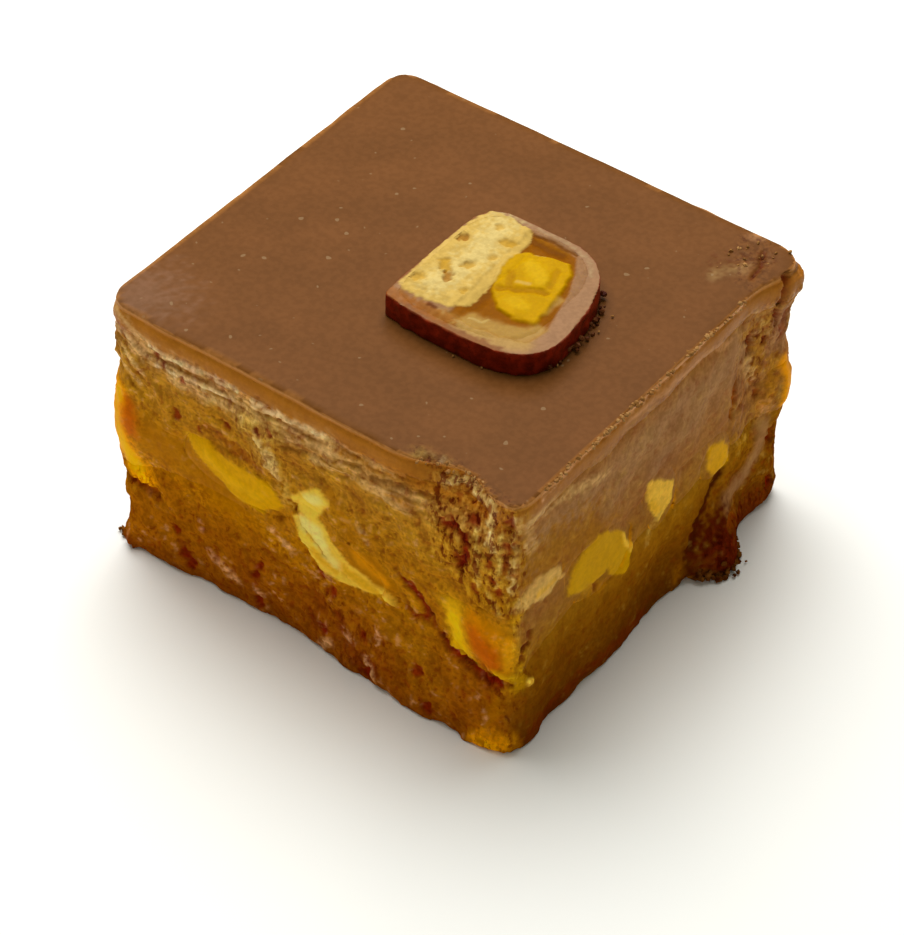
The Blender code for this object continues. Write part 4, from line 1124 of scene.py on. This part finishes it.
# The bar slice: its caramel
# Chewy caramel fills the rest of the coat. It sagged a little below the rim when it was cut, and a
# torn golden block of it stands up from the cut face, with glossy folds round it.
filling = fine_copy("slice_caramel", "bar_caramel", FILLING_GROWTH, FILLING_VOXEL, 2)
dress_slice(filling, 0.03)
filling_finish = cut_finish("bar_caramel_finish", 0.32, 0.02, (1.0, 0.75, 0.15), 0.03 * MM)
let_light_in(filling_finish, (1.0, 0.6, 0.1), 0.5 * MM)
filling.data.materials.append(filling_finish)
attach(filling, "root")
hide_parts("slice_caramel")


# The crumbs
# Crumbs of the coat lie where the slice was pressed down, paler ones cling to the broken rim of the
# icing and to its chips, and dark fudge crumbs lie by the toe and by the left corner.

# the heaps along the coat, each with its x, its y and the width of its crumbs
COAT_HEAPS = ((12.4, 6.9, 0.45), (13.0, 6.2, 0.5), (14.0, 5.2, 0.6), (14.4, 4.4, 0.7), (15.0, 3.2, 0.7),
              (15.4, 2.2, 0.6), (15.9, 0.6, 0.6), (16.2, -0.6, 0.5), (16.4, -2.0, 0.6), (16.3, -3.2, 0.7),
              (16.0, -4.4, 0.6), (15.4, -5.6, 0.5), (15.2, 4.0, 0.5), (15.9, 1.6, 0.4))
LOOSE_PALE = ((16.2, -4.9), (15.4, -5.9), (15.9, -3.4), (16.5, 1.5), (16.2, 4.2), (10.6, -9.6),
              (7.4, -9.9), (15.8, -1.2))
LOOSE_FUDGE = ((-25.9, -23.4, 0.9), (-26.3, -23.5, 0.6), (-25.4, -23.9, 0.7), (29.0, 10.6, 0.5),
               (28.8, 12.4, 0.4))
RIM_CRUMBS = 110
CHIP_CRUMBS = 20
TOE_CRUMBS = 70


def scatter(name, spots, finish, seed):
    """Rough little crumbs at the spots, each given as its place and its width in millimetres."""
    draw = random.Random(seed)
    bpy.ops.object.select_all(action="DESELECT")
    made = []
    for place, width in spots:
        bpy.ops.mesh.primitive_ico_sphere_add(subdivisions=1, radius=1.0)
        crumb = bpy.context.active_object
        spin = Euler([draw.uniform(0.0, 6.3) for _ in range(3)]).to_matrix()
        stretch = Vector([draw.uniform(0.6, 1.2) for _ in range(3)])
        for vertex in crumb.data.vertices:
            vertex.co = spin @ (vertex.co * draw.uniform(0.75, 1.2) * stretch) * (width * MM / 2)
            vertex.co += Vector(place) * MM
            vertex.co.z = max(vertex.co.z, 0.0)
        made.append(crumb)
    for crumb in made:
        crumb.select_set(True)
    bpy.context.view_layer.objects.active = made[0]
    bpy.ops.object.join()
    piece = bpy.context.active_object
    piece.name = name
    piece.data.name = name
    piece.data.materials.append(finish)
    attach(piece, "root")


def crumb_finish(name, dark_colour, light_colour, gloss):
    """A finish for crumbs, mottled from a dark colour to a light one."""
    finish, shader = plain_finish(name, 0.55, gloss)
    tree = finish.node_tree
    where = tree.nodes.new("ShaderNodeTexCoord").outputs["Object"]
    share = spread(tree, noise_node(tree, where, 900.0, 2.0, 0.5), 0.35, 0.65)
    tree.links.new(mix_colours(tree, share, dark_colour, light_colour), shader.inputs["Base Color"])
    return finish


draw = random.Random(5)
coat_spots = []
for x, y, width in COAT_HEAPS:
    for _ in range(4):
        place = (x - 0.25 + draw.gauss(0, 0.28), y + draw.gauss(0, 0.35), ICING_TOP + draw.uniform(0.0, 0.8))
        coat_spots.append((place, width * draw.uniform(0.6, 1.4)))
scatter("coat_crumbs", coat_spots,
        crumb_finish("coat_crumb_finish", (0.05, 0.005, 0.001), (0.16, 0.05, 0.012), 0.1), 1)
pale_spots = []
for x, y in LOOSE_PALE:
    pale_spots.append(((x, y, ICING_TOP + 0.15), draw.uniform(0.25, 0.45)))
for _ in range(RIM_CRUMBS):
    y = draw.uniform(-19.5, 14.5)
    place = (25.2 + draw.gauss(0, 0.14), y, ICING_TOP - 0.24 + draw.gauss(0, 0.07))
    pale_spots.append((place, draw.uniform(0.25, 0.6)))
for _ in range(CHIP_CRUMBS):
    x = draw.uniform(13.0, 20.4)
    place = (x, -22.5 + draw.gauss(0, 0.5), ICING_TOP - 0.2 + draw.gauss(0, 0.08))
    pale_spots.append((place, draw.uniform(0.25, 0.5)))
for _ in range(CHIP_CRUMBS):
    place = (draw.uniform(19.5, 25.0), draw.uniform(16.0, 23.4), ICING_TOP + draw.uniform(-0.1, 0.1))
    pale_spots.append((place, draw.uniform(0.2, 0.5)))
fudge_spots = []
for _ in range(TOE_CRUMBS):
    y = draw.uniform(7.0, 14.0)
    x = 28.1 - 0.16 * (y - 10.4) ** 2
    place = (x + draw.gauss(0, 0.3), y, abs(draw.gauss(0.2, 0.9)))
    fudge_spots.append((place, draw.uniform(0.4, 1.1)))
for x, y, width in LOOSE_FUDGE:
    fudge_spots.append(((x, y, 0.3), width))
scatter("fudge_crumbs", fudge_spots,
        crumb_finish("fudge_crumb_finish", (0.07, 0.012, 0.001), (0.20, 0.07, 0.01), 0.0), 3)
scatter("pale_crumbs", pale_spots,
        crumb_finish("pale_crumb_finish", (0.27, 0.12, 0.03), (0.40, 0.21, 0.07), 0.02), 2)
